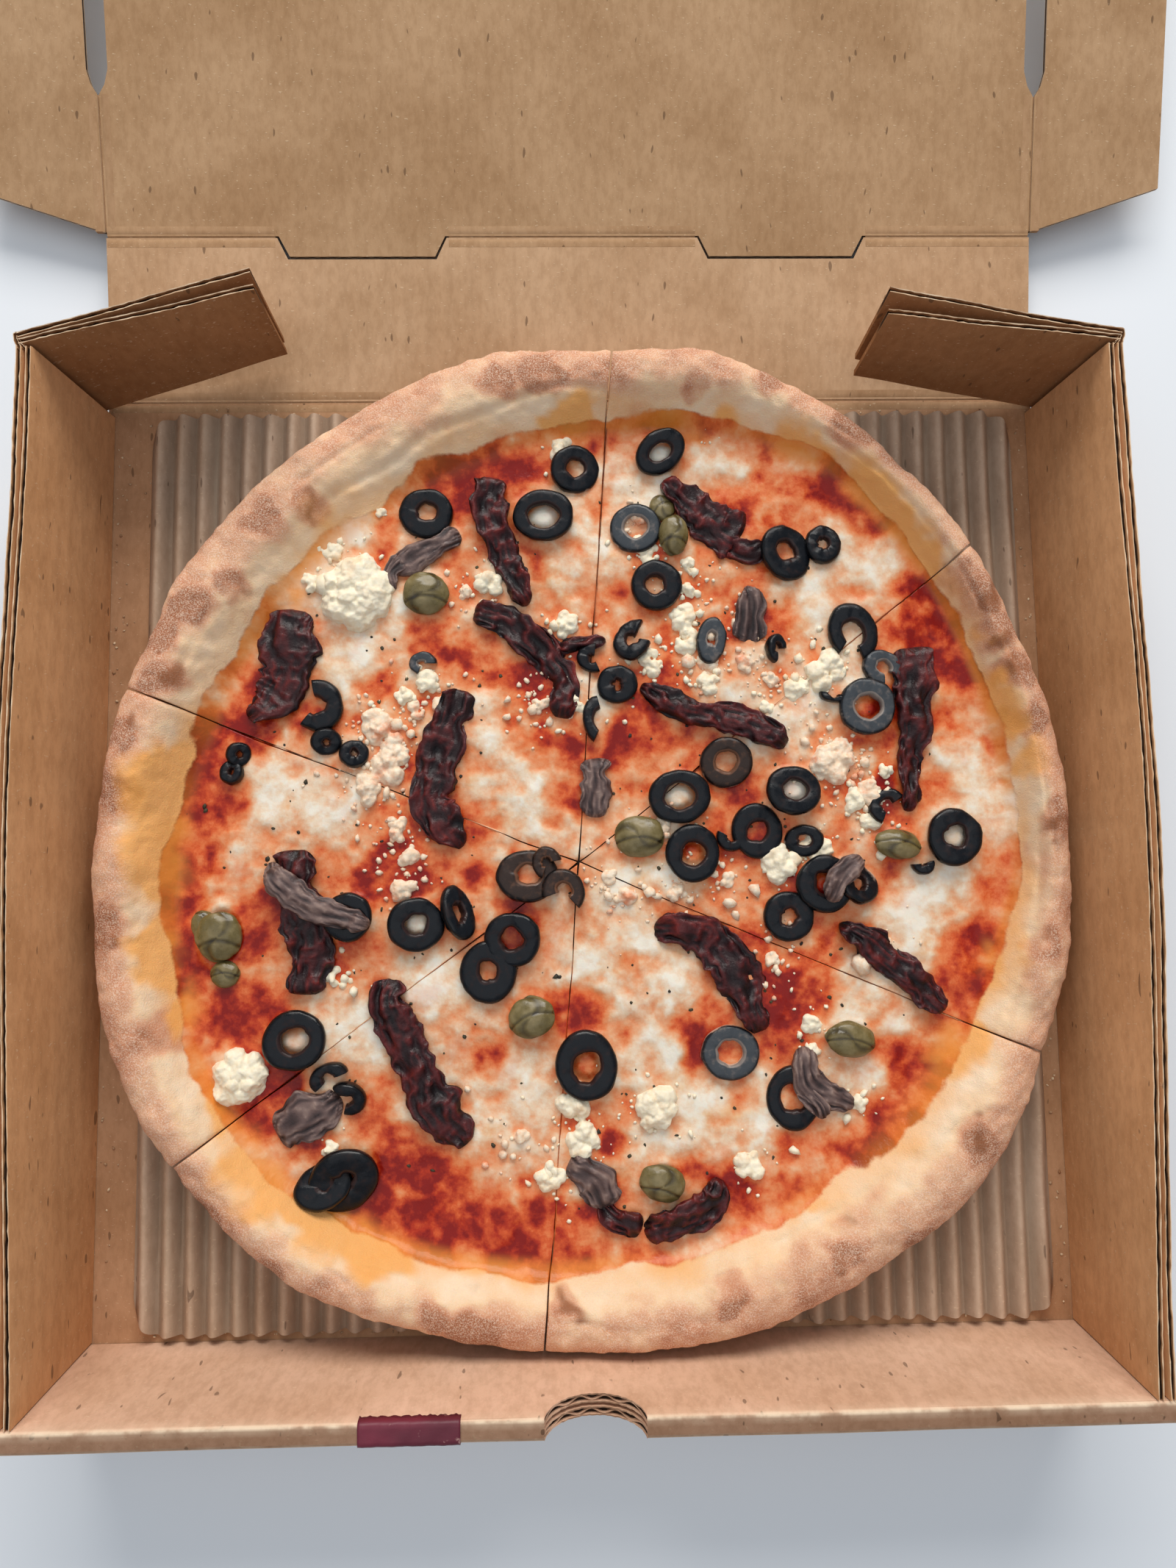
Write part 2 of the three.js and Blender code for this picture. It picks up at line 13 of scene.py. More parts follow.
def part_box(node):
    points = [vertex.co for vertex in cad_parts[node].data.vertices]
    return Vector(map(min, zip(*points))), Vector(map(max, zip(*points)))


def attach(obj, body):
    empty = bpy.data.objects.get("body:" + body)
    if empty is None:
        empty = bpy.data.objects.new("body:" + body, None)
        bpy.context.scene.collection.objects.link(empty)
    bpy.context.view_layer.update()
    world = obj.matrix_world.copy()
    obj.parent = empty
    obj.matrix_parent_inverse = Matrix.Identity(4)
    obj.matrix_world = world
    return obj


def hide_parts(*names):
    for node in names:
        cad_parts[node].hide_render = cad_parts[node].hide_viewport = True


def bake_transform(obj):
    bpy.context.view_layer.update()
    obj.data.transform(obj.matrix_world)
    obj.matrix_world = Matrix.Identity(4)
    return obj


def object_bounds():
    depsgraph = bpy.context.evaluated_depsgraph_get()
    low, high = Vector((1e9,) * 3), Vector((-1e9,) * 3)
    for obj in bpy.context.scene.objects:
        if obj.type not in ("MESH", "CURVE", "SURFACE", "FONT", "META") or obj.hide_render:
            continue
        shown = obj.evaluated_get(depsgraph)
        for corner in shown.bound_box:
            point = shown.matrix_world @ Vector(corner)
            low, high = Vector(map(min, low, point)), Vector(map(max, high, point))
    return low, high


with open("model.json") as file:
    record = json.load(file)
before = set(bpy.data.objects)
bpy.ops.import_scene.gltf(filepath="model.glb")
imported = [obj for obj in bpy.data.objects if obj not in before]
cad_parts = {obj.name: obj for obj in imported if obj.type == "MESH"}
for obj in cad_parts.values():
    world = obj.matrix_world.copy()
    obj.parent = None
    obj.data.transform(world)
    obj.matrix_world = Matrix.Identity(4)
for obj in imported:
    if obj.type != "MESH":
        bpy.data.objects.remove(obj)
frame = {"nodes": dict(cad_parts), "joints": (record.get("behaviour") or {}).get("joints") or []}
nodes = frame["nodes"]
cad_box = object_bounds()
MM = 0.001

# ---- Studio -----------------------------------------------------------------------------
# The box is looked at from above, leaning a little over its front edge. It stands on a pale
# table in soft daylight that comes from behind and above.

view = bpy.data.cameras.new("view")
view.sensor_fit = "VERTICAL"
view.sensor_height = 36
view.lens = 25.32
camera = bpy.data.objects.new("view", view)
camera.location = (-6.1 * MM, -11.1 * MM, 364.8 * MM)
camera.rotation_euler = Euler([math.radians(a) for a in (5.33, -1.31, -0.87)])
bpy.context.collection.objects.link(camera)
bpy.context.scene.camera = camera
bpy.context.scene.view_settings.view_transform = "Standard"


def srgb(red, green, blue):
    """A colour as paint charts give it, 0 to 255, made linear."""
    parts = [c / 255 for c in (red, green, blue)]
    return (*[c / 12.92 if c <= 0.04045 else ((c + 0.055) / 1.055) ** 2.4 for c in parts], 1)


def new_material(name):
    material = bpy.data.materials.new(name)
    material.use_nodes = True
    return material, material.node_tree, material.node_tree.nodes["Principled BSDF"]


bpy.ops.object.select_all(action="DESELECT")
bpy.ops.mesh.primitive_plane_add(size=6, location=(0, 0, cad_box[0][2] - 0.0004))
table = bpy.context.object
table.name = "table"
paint, _, shader = new_material("table_paint")
shader.inputs["Base Color"].default_value = srgb(226, 229, 232)
shader.inputs["Roughness"].default_value = 0.42
table.data.materials.append(paint)


def soft_light(name, size, place, aim, watts, color):
    lamp = bpy.data.lights.new(name, "AREA")
    lamp.shape = "RECTANGLE"
    lamp.size, lamp.size_y = size
    lamp.energy = watts
    lamp.color = color
    holder = bpy.data.objects.new(name, lamp)
    holder.location = place
    holder.rotation_euler = (Vector(aim) - Vector(place)).to_track_quat("-Z", "Y").to_euler()
    bpy.context.collection.objects.link(holder)


soft_light("window", (1.8, 1.0), (0.1, 1.75, 1.15), (0, 0, 0.02), 42, (1.0, 0.975, 0.94))
soft_light("ceiling", (2.4, 2.4), (-0.2, -0.1, 2.1), (0, 0, 0), 13, (0.97, 0.985, 1.0))
sky = bpy.data.worlds.new("daylight")
sky.use_nodes = True
sky.node_tree.nodes["Background"].inputs["Color"].default_value = srgb(228, 238, 250)
sky.node_tree.nodes["Background"].inputs["Strength"].default_value = 0.42
bpy.context.scene.world = sky

# ---- Board panels -----------------------------------------------------------------------
# The tray floor, back wall, lid, ears and front flap are one die-cut sheet of brown
# corrugated board: two paper liners with a fluted sheet between them that shows at cut edges.
# Flutes run front to back. The panels keep their solids and get the board's finish.

FLUTE_PITCH = 7.2 * MM
LEAF = 1.8 * MM


def fill(tree, sockets, settings):
    """Sets each named socket to its value, or links it where the value is another socket."""
    for name, value in settings.items():
        if isinstance(value, bpy.types.NodeSocket):
            tree.links.new(value, sockets[name])
        else:
            sockets[name].default_value = value


def add_node(tree, kind, **settings):
    """A shader node with its settings; one that is not the node's own fills an input, and i0, i1
    and so on are inputs by number."""
    node = tree.nodes.new("ShaderNode" + kind)
    own = {key: value for key, value in settings.items() if hasattr(node, key)}
    for key, value in own.items():
        setattr(node, key, value)
    for key, value in settings.items():
        if key not in own:
            name = int(key[1:]) if key[0] == "i" and key[1:].isdigit() else key.replace("_", " ")
            fill(tree, node.inputs, {name: value})
    return node


def maths(tree, operation, first, second=0.0):
    return add_node(tree, "Math", operation=operation, i0=first, i1=second).outputs[0]


def times(tree, first, second):
    return maths(tree, "MULTIPLY", first, second)


def plus(tree, first, second):
    return maths(tree, "ADD", first, second)


def blend(tree, factor, first, second, mode="MIX"):
    node = add_node(tree, "Mix", data_type="RGBA", blend_type=mode, clamp_factor=True)
    fill(tree, node.inputs, {0: factor, 6: first, 7: second})
    return node.outputs[2]


def darkened(tree, color, by):
    return blend(tree, 1.0, color, by, "MULTIPLY")


def spread(tree, value, low, high, start=0.0, end=1.0):
    """Maps low..high to start..end, smoothly and held at the ends."""
    return add_node(tree, "MapRange", interpolation_type="SMOOTHSTEP", Value=value, From_Min=low,
                    From_Max=high, To_Min=start, To_Max=end).outputs[0]


def speckle(tree, vector, per_metre, detail=2.0, rough=0.55):
    return add_node(tree, "TexNoise", Vector=vector, Scale=per_metre, Detail=detail,
                    Roughness=rough).outputs[0]


def scaled(tree, vector, sizes):
    return add_node(tree, "VectorMath", operation="MULTIPLY", i0=vector, i1=sizes).outputs[0]


def axis_of(tree, vector, number):
    return add_node(tree, "SeparateXYZ", Vector=vector).outputs[number]


def own_coords(tree):
    return add_node(tree, "TexCoord").outputs["Object"]


def own_normal(tree):
    """The way a face looks, in the object's own axes."""
    normal = add_node(tree, "NewGeometry").outputs["Normal"]
    return add_node(tree, "VectorTransform", vector_type="NORMAL", convert_from="WORLD",
                    convert_to="OBJECT", Vector=normal).outputs[0]


def painted(tree, name):
    """A value painted on the mesh's points."""
    return add_node(tree, "Attribute", attribute_type="GEOMETRY", attribute_name=name).outputs["Fac"]


def open_group(name, inputs, outputs):
    """A node group, the sockets of its inputs and those of its outputs."""
    group = bpy.data.node_groups.new(name, "ShaderNodeTree")
    for label, kind, value in inputs:
        socket = group.interface.new_socket(label, in_out="INPUT", socket_type="NodeSocket" + kind)
        if value is not None:
            socket.default_value = value
    for label, kind in outputs:
        group.interface.new_socket(label, in_out="OUTPUT", socket_type="NodeSocket" + kind)
    given = group.nodes.new("NodeGroupInput").outputs
    return group, given, group.nodes.new("NodeGroupOutput").inputs


# Brown paper: cloudy tone, pale and dark fibres, and the flutes just showing through, as relief and as
# painted shade.
kraft, given, out = open_group(
    "brown_paper",
    [("Vector", "Vector", None), ("Paper", "Color", (0.4, 0.3, 0.2, 1)), ("Flutes", "Float", 0.3)],
    [("Color", "Color"), ("Roughness", "Float"), ("Height", "Float")])
where = given["Vector"]
cloudy = speckle(kraft, where, 22, 3)
mottled = speckle(kraft, scaled(kraft, where, (1, 0.45, 1)), 420, 3, 0.65)
pale_bits = spread(kraft, speckle(kraft, scaled(kraft, where, (1, 1.7, 1)), 700, 1), 0.66, 0.76)
dark_bits = speckle(kraft, scaled(kraft, where, (1.6, 0.5, 1.2)), 330, 0)
dark_bits = spread(kraft, dark_bits, 0.80, 0.84)
across = axis_of(kraft, where, 0)
ridge = maths(kraft, "SINE", times(kraft, across, 2 * math.pi / FLUTE_PITCH))
tone = blend(kraft, spread(kraft, cloudy, 0.3, 0.7), given["Paper"],
             darkened(kraft, given["Paper"], srgb(232, 226, 218)))
tone = blend(kraft, spread(kraft, mottled, 0.35, 0.7, 0.0, 0.35), tone,
             darkened(kraft, tone, srgb(206, 196, 184)))
tone = blend(kraft, times(kraft, pale_bits, 0.32), tone, srgb(232, 205, 170))
tone = blend(kraft, times(kraft, dark_bits, 0.6), tone, srgb(84, 60, 42))
# Painted shade: stripes along the flutes are darkened as if shaded by their ridges.
shade = times(kraft, plus(kraft, ridge, 1.0), 0.035)
tone = blend(kraft, times(kraft, shade, given["Flutes"]), tone, srgb(96, 72, 52))
kraft.links.new(tone, out["Color"])
kraft.links.new(spread(kraft, mottled, 0.3, 0.7, 0.72, 0.9), out["Roughness"])
relief = times(kraft, ridge, given["Flutes"])
fibres = plus(kraft, times(kraft, mottled, 0.5), times(kraft, pale_bits, 0.3))
kraft.links.new(plus(kraft, times(kraft, relief, 0.25), fibres), out["Height"])

# Cut edge of board: pale liners either side, the fluted sheet snaking between, and painted shade in the
# hollow flutes.
cut_edge, given, out = open_group(
    "cut_edge", [("Vector", "Vector", None), ("Color", "Color", (0.4, 0.3, 0.2, 1))],
    [("Color", "Color")])
parts = add_node(cut_edge, "SeparateXYZ", Vector=given["Vector"])
depth = plus(cut_edge, parts.outputs[2], LEAF / 2)
snake = maths(cut_edge, "SINE", times(cut_edge, parts.outputs[0], 2 * math.pi / FLUTE_PITCH))
off_line = maths(cut_edge, "SUBTRACT", depth, times(cut_edge, snake, LEAF * 0.3))
off_line = maths(cut_edge, "ABSOLUTE", off_line)
in_liner = spread(cut_edge, maths(cut_edge, "ABSOLUTE", depth), LEAF * 0.33, LEAF * 0.38)
on_line = spread(cut_edge, off_line, LEAF * 0.13, LEAF * 0.08)
lit = maths(cut_edge, "MAXIMUM", in_liner, on_line)
pale = blend(cut_edge, 0.45, given["Color"], srgb(226, 205, 180))
# The dark colour is painted shade in the hollow flutes.
cut_edge.links.new(blend(cut_edge, lit, srgb(62, 44, 32), pale), out["Color"])


def use_group(tree, group, **settings):
    node = tree.nodes.new("ShaderNodeGroup")
    node.node_tree = group
    fill(tree, node.inputs, settings)
    return node.outputs


def dress(tree, shader, **settings):
    """Fills the shader's inputs, each named with underscores for its spaces."""
    fill(tree, shader.inputs, {key.replace("_", " "): value for key, value in settings.items()})


def bump(tree, shader, height, strength, distance):
    node = add_node(tree, "Bump", Height=height, Strength=strength, Distance=distance)
    tree.links.new(node.outputs[0], shader.inputs["Normal"])


def board_material(name, paper, fold=(0, 0, 0), turn=(0, 0, 0), flutes=0.6, cut="solid"):
    """Board lying in a plane through `fold`, turned by `turn` degrees. A "solid" panel shows its
    core on every face across that plane, pale liners with painted shade in the hollow flutes; a
    "leaf" is painted dark as shade where its points are painted as core; and "rolled" board has
    painted shade on top, a pale line of wear and painted highlight along its fold, and painted
    shade where `fold` is below zero."""
    material, tree, shader = new_material(name)
    coords = own_coords(tree)
    angles = [math.radians(a) for a in turn]
    lay = add_node(tree, "Mapping", vector_type="TEXTURE", Vector=coords, Location=fold, Rotation=angles)
    paper_out = use_group(tree, kraft, Vector=lay.outputs[0], Paper=paper, Flutes=flutes)
    color = paper_out["Color"]
    normal = own_normal(tree)
    if cut == "solid":
        up = Euler(angles).to_matrix() @ Vector((0, 0, 1))
        facing = add_node(tree, "VectorMath", operation="DOT_PRODUCT", i0=normal, i1=up).outputs["Value"]
        flat = spread(tree, maths(tree, "ABSOLUTE", facing), 0.4, 0.6)
        edge = use_group(tree, cut_edge, Vector=lay.outputs[0], Color=color)["Color"]
        color = blend(tree, flat, edge, color)
    elif cut == "leaf":
        # Painted shade: the sunk core between the paper lips is darkened.
        core = painted(tree, "core")
        upward = axis_of(tree, normal, 2)
        lip = times(tree, spread(tree, upward, 0.6, 0.85), spread(tree, core, 0.3, 0.1))
        worn = speckle(tree, coords, 240, 3)
        lip = times(tree, lip, spread(tree, worn, 0.3, 0.7, 0.35, 0.95))
        color = blend(tree, lip, color, srgb(226, 200, 168))
        color = blend(tree, spread(tree, core, 0.2, 0.75), color, srgb(58, 40, 28))
    elif cut == "rolled":
        fold_highlight_and_shade = painted(tree, "fold")
        upward = axis_of(tree, normal, 2)
        # Painted shade: faces looking up are darkened.
        color = blend(tree, spread(tree, upward, 0.6, 0.95, 0, 0.75), color,
                      darkened(tree, color, srgb(140, 122, 106)))
        worn = spread(tree, speckle(tree, coords, 170, 4), 0.3, 0.65, 0.15, 0.9)
        # A pale line along the fold: wear and painted highlight.
        color = blend(tree, times(tree, fold_highlight_and_shade, worn), color, srgb(236, 212, 182))
        # Painted shade: points marked below zero, the dark sheets in the notch, stand for shade in the
        # hollow flutes.
        color = blend(tree, spread(tree, fold_highlight_and_shade, -0.2, -0.8), color, srgb(44, 31, 23))
    dress(tree, shader, Base_Color=color, Roughness=paper_out["Roughness"], Specular_IOR_Level=0.12)
    bump(tree, shader, paper_out["Height"], 0.35, 0.0004)
    return material


def finish_node(name, material):
    solid = nodes[name]
    solid.data.materials.clear()
    solid.data.materials.append(material)


joints = {j["name"]: j for j in frame["joints"]}
back_fold = joints["back_wall_fold"]["pos_m"]
lid_fold = joints["lid_fold"]["pos_m"]
front_fold = joints["lid_front_fold"]["pos_m"]
# The back wall's board is painted lighter than the lid's: painted light on a panel that faces up more.
BACK_WALL_LIT_PAPER = srgb(202, 164, 128)
LID_PAPER = srgb(188, 151, 114)
FLOOR_PAPER = srgb(192, 148, 112)
finish_node("tray_floor", board_material("floor_board", FLOOR_PAPER, (0, 0, LEAF), flutes=0.4))
finish_node("back_wall", board_material("back_wall_board", BACK_WALL_LIT_PAPER, back_fold, (8, 0, 0)))
lid_board = board_material("lid_board", LID_PAPER, lid_fold, (12, 0, 0), 0.4)
for name in ("lid", "left_ear", "right_ear"):
    finish_node(name, lid_board)
finish_node("lid_front_flap", board_material("lid_flap_board", LID_PAPER, front_fold, (82, 0, 0)))

# ---- Side walls -------------------------------------------------------------------------
# Each side wall is two leaves of board standing together, cut edges up, bowed out a little by
# the pizza's weight. The edge shows three pale paper lines with the flutes between them in painted shade.

WALL_TOP = 51.8
HALF_WIDTH = 155
WALL_THICK = 4.4
WALL_FRONT, WALL_BACK = -151, 148.8
THICK = LEAF / MM
WALL_FOOT = 2.1
LATTICE = 32
lattices = {}


def cloud(points, size, seed, octaves=1):
    """Soft lumpy noise of about -1 to 1 at points in mm; `size` is the breadth of a lump."""
    if seed not in lattices:
        lattices[seed] = np.random.default_rng(seed).uniform(-1, 1, (LATTICE,) * 3)
    table = lattices[seed]
    total, strength, most = 0.0, 1.0, 0.0
    for octave in range(octaves):
        grid = points / size * 2**octave + 7.3 * octave
        cell = np.floor(grid).astype(int)
        part = grid - cell
        part = part * part * (3 - 2 * part)
        for corner in itertools.product((0, 1), repeat=3):
            i, j, k = ((cell + corner) % LATTICE).T
            share = np.prod(np.where(corner, part, 1 - part), axis=1)
            total = total + strength * table[i, j, k] * share
        most += strength
        strength *= 0.5
    return total / most * 1.7


def smooth(value, low, high):
    """0 at `low` to 1 at `high`, easing in and out."""
    part = np.clip((value - low) / (high - low), 0, 1)
    return part * part * (3 - 2 * part)


def merge_seams(piece):
    """Joins points that lie on each other and turns all faces outwards."""
    shape = bmesh.new()
    shape.from_mesh(piece.data)
    bmesh.ops.remove_doubles(shape, verts=shape.verts, dist=2e-6)
    bmesh.ops.recalc_face_normals(shape, faces=shape.faces)
    shape.to_mesh(piece.data)
    shape.free()


def paint_points(mesh, **values):
    for name, value in values.items():
        layer = mesh.attributes.new(name, "FLOAT", "POINT")
        layer.data.foreach_set("value", np.asarray(value, np.float32))


def shown(name, points, faces, material, body="tray", **values):
    """Makes a piece from points in mm, paints values on its points and rides it on a body."""
    mesh = bpy.data.meshes.new(name)
    mesh.from_pydata((np.asarray(points) * MM).tolist(), [], faces)
    paint_points(mesh, **values)
    mesh.shade_smooth()
    piece = bpy.data.objects.new(name, mesh)
    bpy.context.collection.objects.link(piece)
    mesh.materials.append(material)
    merge_seams(piece)
    if body:
        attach(piece, body)
    return piece


def joined(shapes):
    """One set of points, faces and painted values from several."""
    points, faces, marks, count = [], [], [], 0
    for shape_points, shape_faces, shape_marks in shapes:
        points.append(shape_points)
        marks.append(shape_marks)
        faces += [tuple(corner + count for corner in face) for face in shape_faces]
        count += len(shape_points)
    return np.concatenate(points), faces, np.concatenate(marks)


def tube_faces(rows, count, ring=False):
    """Faces through `rows` loops of `count` points, with flat ends or joined into a ring."""
    faces = []
    for i in range(rows if ring else rows - 1):
        low, high = i * count, (i + 1) % rows * count
        for j in range(count):
            k = (j + 1) % count
            faces.append((low + j, low + k, high + k, high + j))
    if not ring:
        last = (rows - 1) * count
        faces += [tuple(range(count))[::-1], tuple(last + j for j in range(count))]
    return faces


def swept(sections, marks):
    """A closed body through equal loops of points, with flat ends."""
    rows, count = sections.shape[:2]
    return sections.reshape(-1, 3), tube_faces(rows, count), np.tile(marks, rows)


def xyz(x, y, z):
    """Points from their coordinates; a single number serves for every point."""
    return np.stack(np.broadcast_arrays(x, y, z), axis=-1)


def turned(points, angles):
    """Points turned about the origin by angles in degrees about x, y and z."""
    turn = np.array(Euler([math.radians(a) for a in angles]).to_matrix())
    return points @ turn.T


def pick(piece):
    """Selects this piece and nothing else."""
    bpy.ops.object.select_all(action="DESELECT")
    bpy.context.view_layer.objects.active = piece
    piece.select_set(True)


def crisp(piece, degrees=35):
    """Smooth shading, but for edges sharper than an angle."""
    pick(piece)
    bpy.ops.object.shade_smooth_by_angle(angle=math.radians(degrees))
    piece.select_set(False)


def board_leaf(foot, top, out, rng, groove=1.5):
    """One leaf of board, its near face from the line `foot` up to the line `top`, thickening along
    `out`. Its upper edge is cut: two paper lips with the core sunk between them, marked for painted shade."""
    rise = top - foot
    high = np.linalg.norm(rise, axis=1)
    up = rise / high[:, None]
    lips = 0.38 + 0.12 * rng.uniform(-1, 1, (2, len(foot)))
    ragged = 0.14 * rng.uniform(-1, 1, (2, len(foot)))
    sink = groove * (1 + 0.3 * rng.uniform(-1, 1, len(foot)))
    near_edge, far_edge = high + ragged
    loop = [
        (0, 0), (0, high * 0.5), (0, high - 0.25 + ragged[0]), (0.12, near_edge),
        (lips[0], high - 0.05 + ragged[0]), (lips[0] + 0.06, high - sink),
        (THICK - lips[1] - 0.06, high - sink), (THICK - lips[1], high - 0.05 + ragged[1]),
        (THICK - 0.12, far_edge), (THICK, high - 0.25 + ragged[1]), (THICK, high * 0.5), (THICK, 0),
    ]
    every = np.ones((len(foot), 1))
    sections = np.stack([
        foot + out * (every * np.reshape(across, (-1, 1))) + up * (every * np.reshape(along, (-1, 1)))
        for across, along in loop], axis=1)
    in_shaded_core = [0, 0, 0, 0, 0, 1, 1, 0, 0, 0, 0, 0]
    return swept(sections, np.array(in_shaded_core, float))


def flare(y):
    """How far the side walls bow out at the top: most in the middle, least at the front."""
    even = 1 + 3.5 * (y - WALL_FRONT) / (154 - WALL_FRONT)
    return even + 3.8 * np.cos(y / 155 * math.pi / 2) ** 2


rng = np.random.default_rng(3)
# The side walls' board is painted lighter than the lid's: painted light on their inner faces.
WALL_LIT_PAPER = srgb(222, 168, 120)
wall_board = board_material("wall_board", WALL_LIT_PAPER, turn=(0, 90, 0), flutes=0.7, cut="leaf")
for side, name in ((-1, "left"), (1, "right")):
    y = np.linspace(WALL_FRONT + 0.4, WALL_BACK, 130)
    lean = np.where(y < WALL_FRONT + 1.5, 3.3, 0)
    leaves = []
    wander = 0.35 * np.sin(y / 17 + side) + 0.25 * np.sin(y / 6.1)
    part = np.clip((-y - 95) / 60, 0, 1) ** 2 * (1.6 if side > 0 else 0.5)
    inner, outer = (0, WALL_FOOT, -part * 0.4), (WALL_THICK - THICK, 0, wander * 0.4 + 0.2)
    for start, ground, shift in (inner, outer):
        foot = xyz(side * (HALF_WIDTH + start), y, ground)
        reach_out = HALF_WIDTH + start + flare(y) + shift
        top = xyz(side * reach_out, y - lean, WALL_TOP + 0.25 * np.sin(y / 23 + start))
        leaves.append(board_leaf(foot, top, np.array([side, 0, 0]), rng))
    points, faces, core = joined(leaves)
    wall = shown(f"{name}_side_wall", points, faces, wall_board, core=core)
    crisp(wall)
    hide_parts(f"{name}_wall")

# ---- Front wall -------------------------------------------------------------------------
# The front wall is board rolled over at the top and tucked back down inside, so its top is a
# smooth round-edged strip. A half-round thumb notch is cut through both leaves.

FRONT_FACE = -151
FRONT_LEAN = 3.3
FRONT_THICK = 5.95
FRONT_LEAF = 2.4
FRONT_SKIN = 0.4
NOTCH_X, NOTCH_RADIUS, NOTCH_RISE = 1, 14, 1.2
FRONT_HALF = 160.4


def on_front(x, near, z):
    """Points on the leaning front wall, `near` mm out from its inner face."""
    return xyz(x, FRONT_FACE - FRONT_LEAN * z / WALL_TOP - near, z)


def notch_height(x):
    """Top of the front wall at x: level, but for the round notch."""
    drop = np.sqrt(np.maximum(NOTCH_RADIUS**2 - (x - NOTCH_X) ** 2, 0))
    return np.minimum(WALL_TOP, WALL_TOP + NOTCH_RISE - drop)


def front_skin(x, high, near, thick, mark=0.0):
    """A thin upright sheet over the line x, `near` mm out from the wall's inner face."""
    low = WALL_FOOT if np.mean(near) < 3 else 0
    corners = ((low, 0), (high, 0), (high, thick), (low, thick))
    columns = [on_front(x, near, z * np.ones(len(x))) - (0, far, 0) for z, far in corners]
    return swept(np.stack(columns, axis=1), np.full(4, mark))


arc = NOTCH_X + (NOTCH_RADIUS - 0.05) * np.cos(np.linspace(math.pi, 0, 61))
left_run = np.linspace(-FRONT_HALF, arc[0] - 0.4, 60)
x = np.concatenate([left_run, arc, np.linspace(arc[-1] + 0.4, FRONT_HALF, 60)])
in_notch = notch_height(x) < WALL_TOP - 0.01
below = np.where(in_notch, notch_height(x), WALL_TOP - 1)
ragged = 0.12 * np.sin(x * 3.1) + 0.1 * np.sin(x * 7.7)
sheets = []
for near in (0, FRONT_LEAF - FRONT_SKIN, FRONT_THICK - FRONT_LEAF, FRONT_THICK - FRONT_SKIN):
    inside = 0.1 * np.sin(x / 9 + near) * (0 < near < 5)
    sheets.append(front_skin(x, below + ragged * in_notch, near + inside, FRONT_SKIN))

# Between the skins the fluted sheet shows in the notch, with a dark sheet behind it as painted shade in the
# hollow flutes.
near_notch = np.linspace(NOTCH_X - 22, NOTCH_X + 22, 130)
near_notch = near_notch[np.abs(near_notch - NOTCH_X) < 14.2]
for middle in (FRONT_LEAF / 2, FRONT_THICK - FRONT_LEAF / 2):
    snake = middle - 0.14 + 0.66 * np.sin(near_notch * 2 * math.pi * MM / FLUTE_PITCH + middle)
    sheets.append(front_skin(near_notch, notch_height(near_notch) - 0.1, snake, 0.28))
    core = middle - FRONT_LEAF / 2 + 0.42
    core_top = notch_height(near_notch) - 1.3
    sheets.append(front_skin(near_notch, core_top, core, FRONT_LEAF - 0.84, -1.0))


def front_cap(x):
    """The rolled top of the front wall over the line x."""
    t = FRONT_THICK
    loop = [(-0.06, -5), (-0.06, -1.3), (0.1, -0.55), (0.55, -0.1), (1.2, 0.02), (t / 2, -0.12),
            (t - 1.2, 0.02), (t - 0.55, -0.1), (t - 0.1, -0.55), (t + 0.06, -1.3), (t + 0.06, -5),
            (t - 0.5, -5), (t - 0.5, -1.2), (0.5, -1.2), (0.5, -5)]
    # How much of the pale wear and painted highlight of the fold each point takes.
    fold = [0, 0.2, 0.8, 1, 0.3, 0, 0, 0.3, 0.3, 0.1, 0, 0, 0, 0, 0]
    waver = 0.16 * np.sin(x / 31) + 0.1 * np.sin(x / 11 + 2)
    columns = [on_front(x, near, WALL_TOP + down + waver * (down > -2)) for near, down in loop]
    return swept(np.stack(columns, axis=1), np.array(fold, float))


caps = [front_cap(np.linspace(*ends, 90)) for ends in ((-FRONT_HALF, arc[0]), (arc[-1], FRONT_HALF))]

# Small torn scraps of paper stick out at the wall's two ends; they take most of the fold's pale wear and
# painted highlight.
TEARS = [(-160.8, -157, 43), (-161.4, -155.4, 47.5), (160.8, -157.4, 42), (161.4, -156, 47)]
scraps = []
for place in TEARS:
    bent = rng.uniform(-1, 1, (5, 4, 3)) * 0.5
    base_x, base_y = np.meshgrid(np.linspace(-2, 2, 5), np.linspace(-1.6, 1.6, 4), indexing="ij")
    sheet_top = xyz(base_x, base_y, 0) * (0.8, 1, 1) + bent
    sheet_top = turned(sheet_top.reshape(-1, 3), rng.uniform(-50, 50, 3)).reshape(5, 4, 3)
    loops = np.concatenate([sheet_top, sheet_top[:, ::-1] - (0, 0, 0.45)], axis=1)
    scraps.append(swept(loops + place, np.full(8, 0.8)))
points, faces, fold = joined(sheets + caps + scraps)
# The front wall's board is painted lighter than the rest: painted light on its inner face, which looks
# towards the window.
FRONT_LIT_PAPER = srgb(230, 189, 160)
front_board = board_material(
    "front_wall_board", FRONT_LIT_PAPER, (0, -151, 0), (90, 0, 0), 0.5, "rolled")
front = shown("front_wall_rolled", points, faces, front_board, fold=fold)
crisp(front, 45)
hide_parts("front_wall")

# ---- Paper seal -------------------------------------------------------------------------
# A plain maroon paper sticker folded over the front wall's top. It held the lid shut and tore
# along its edge when the box was opened.

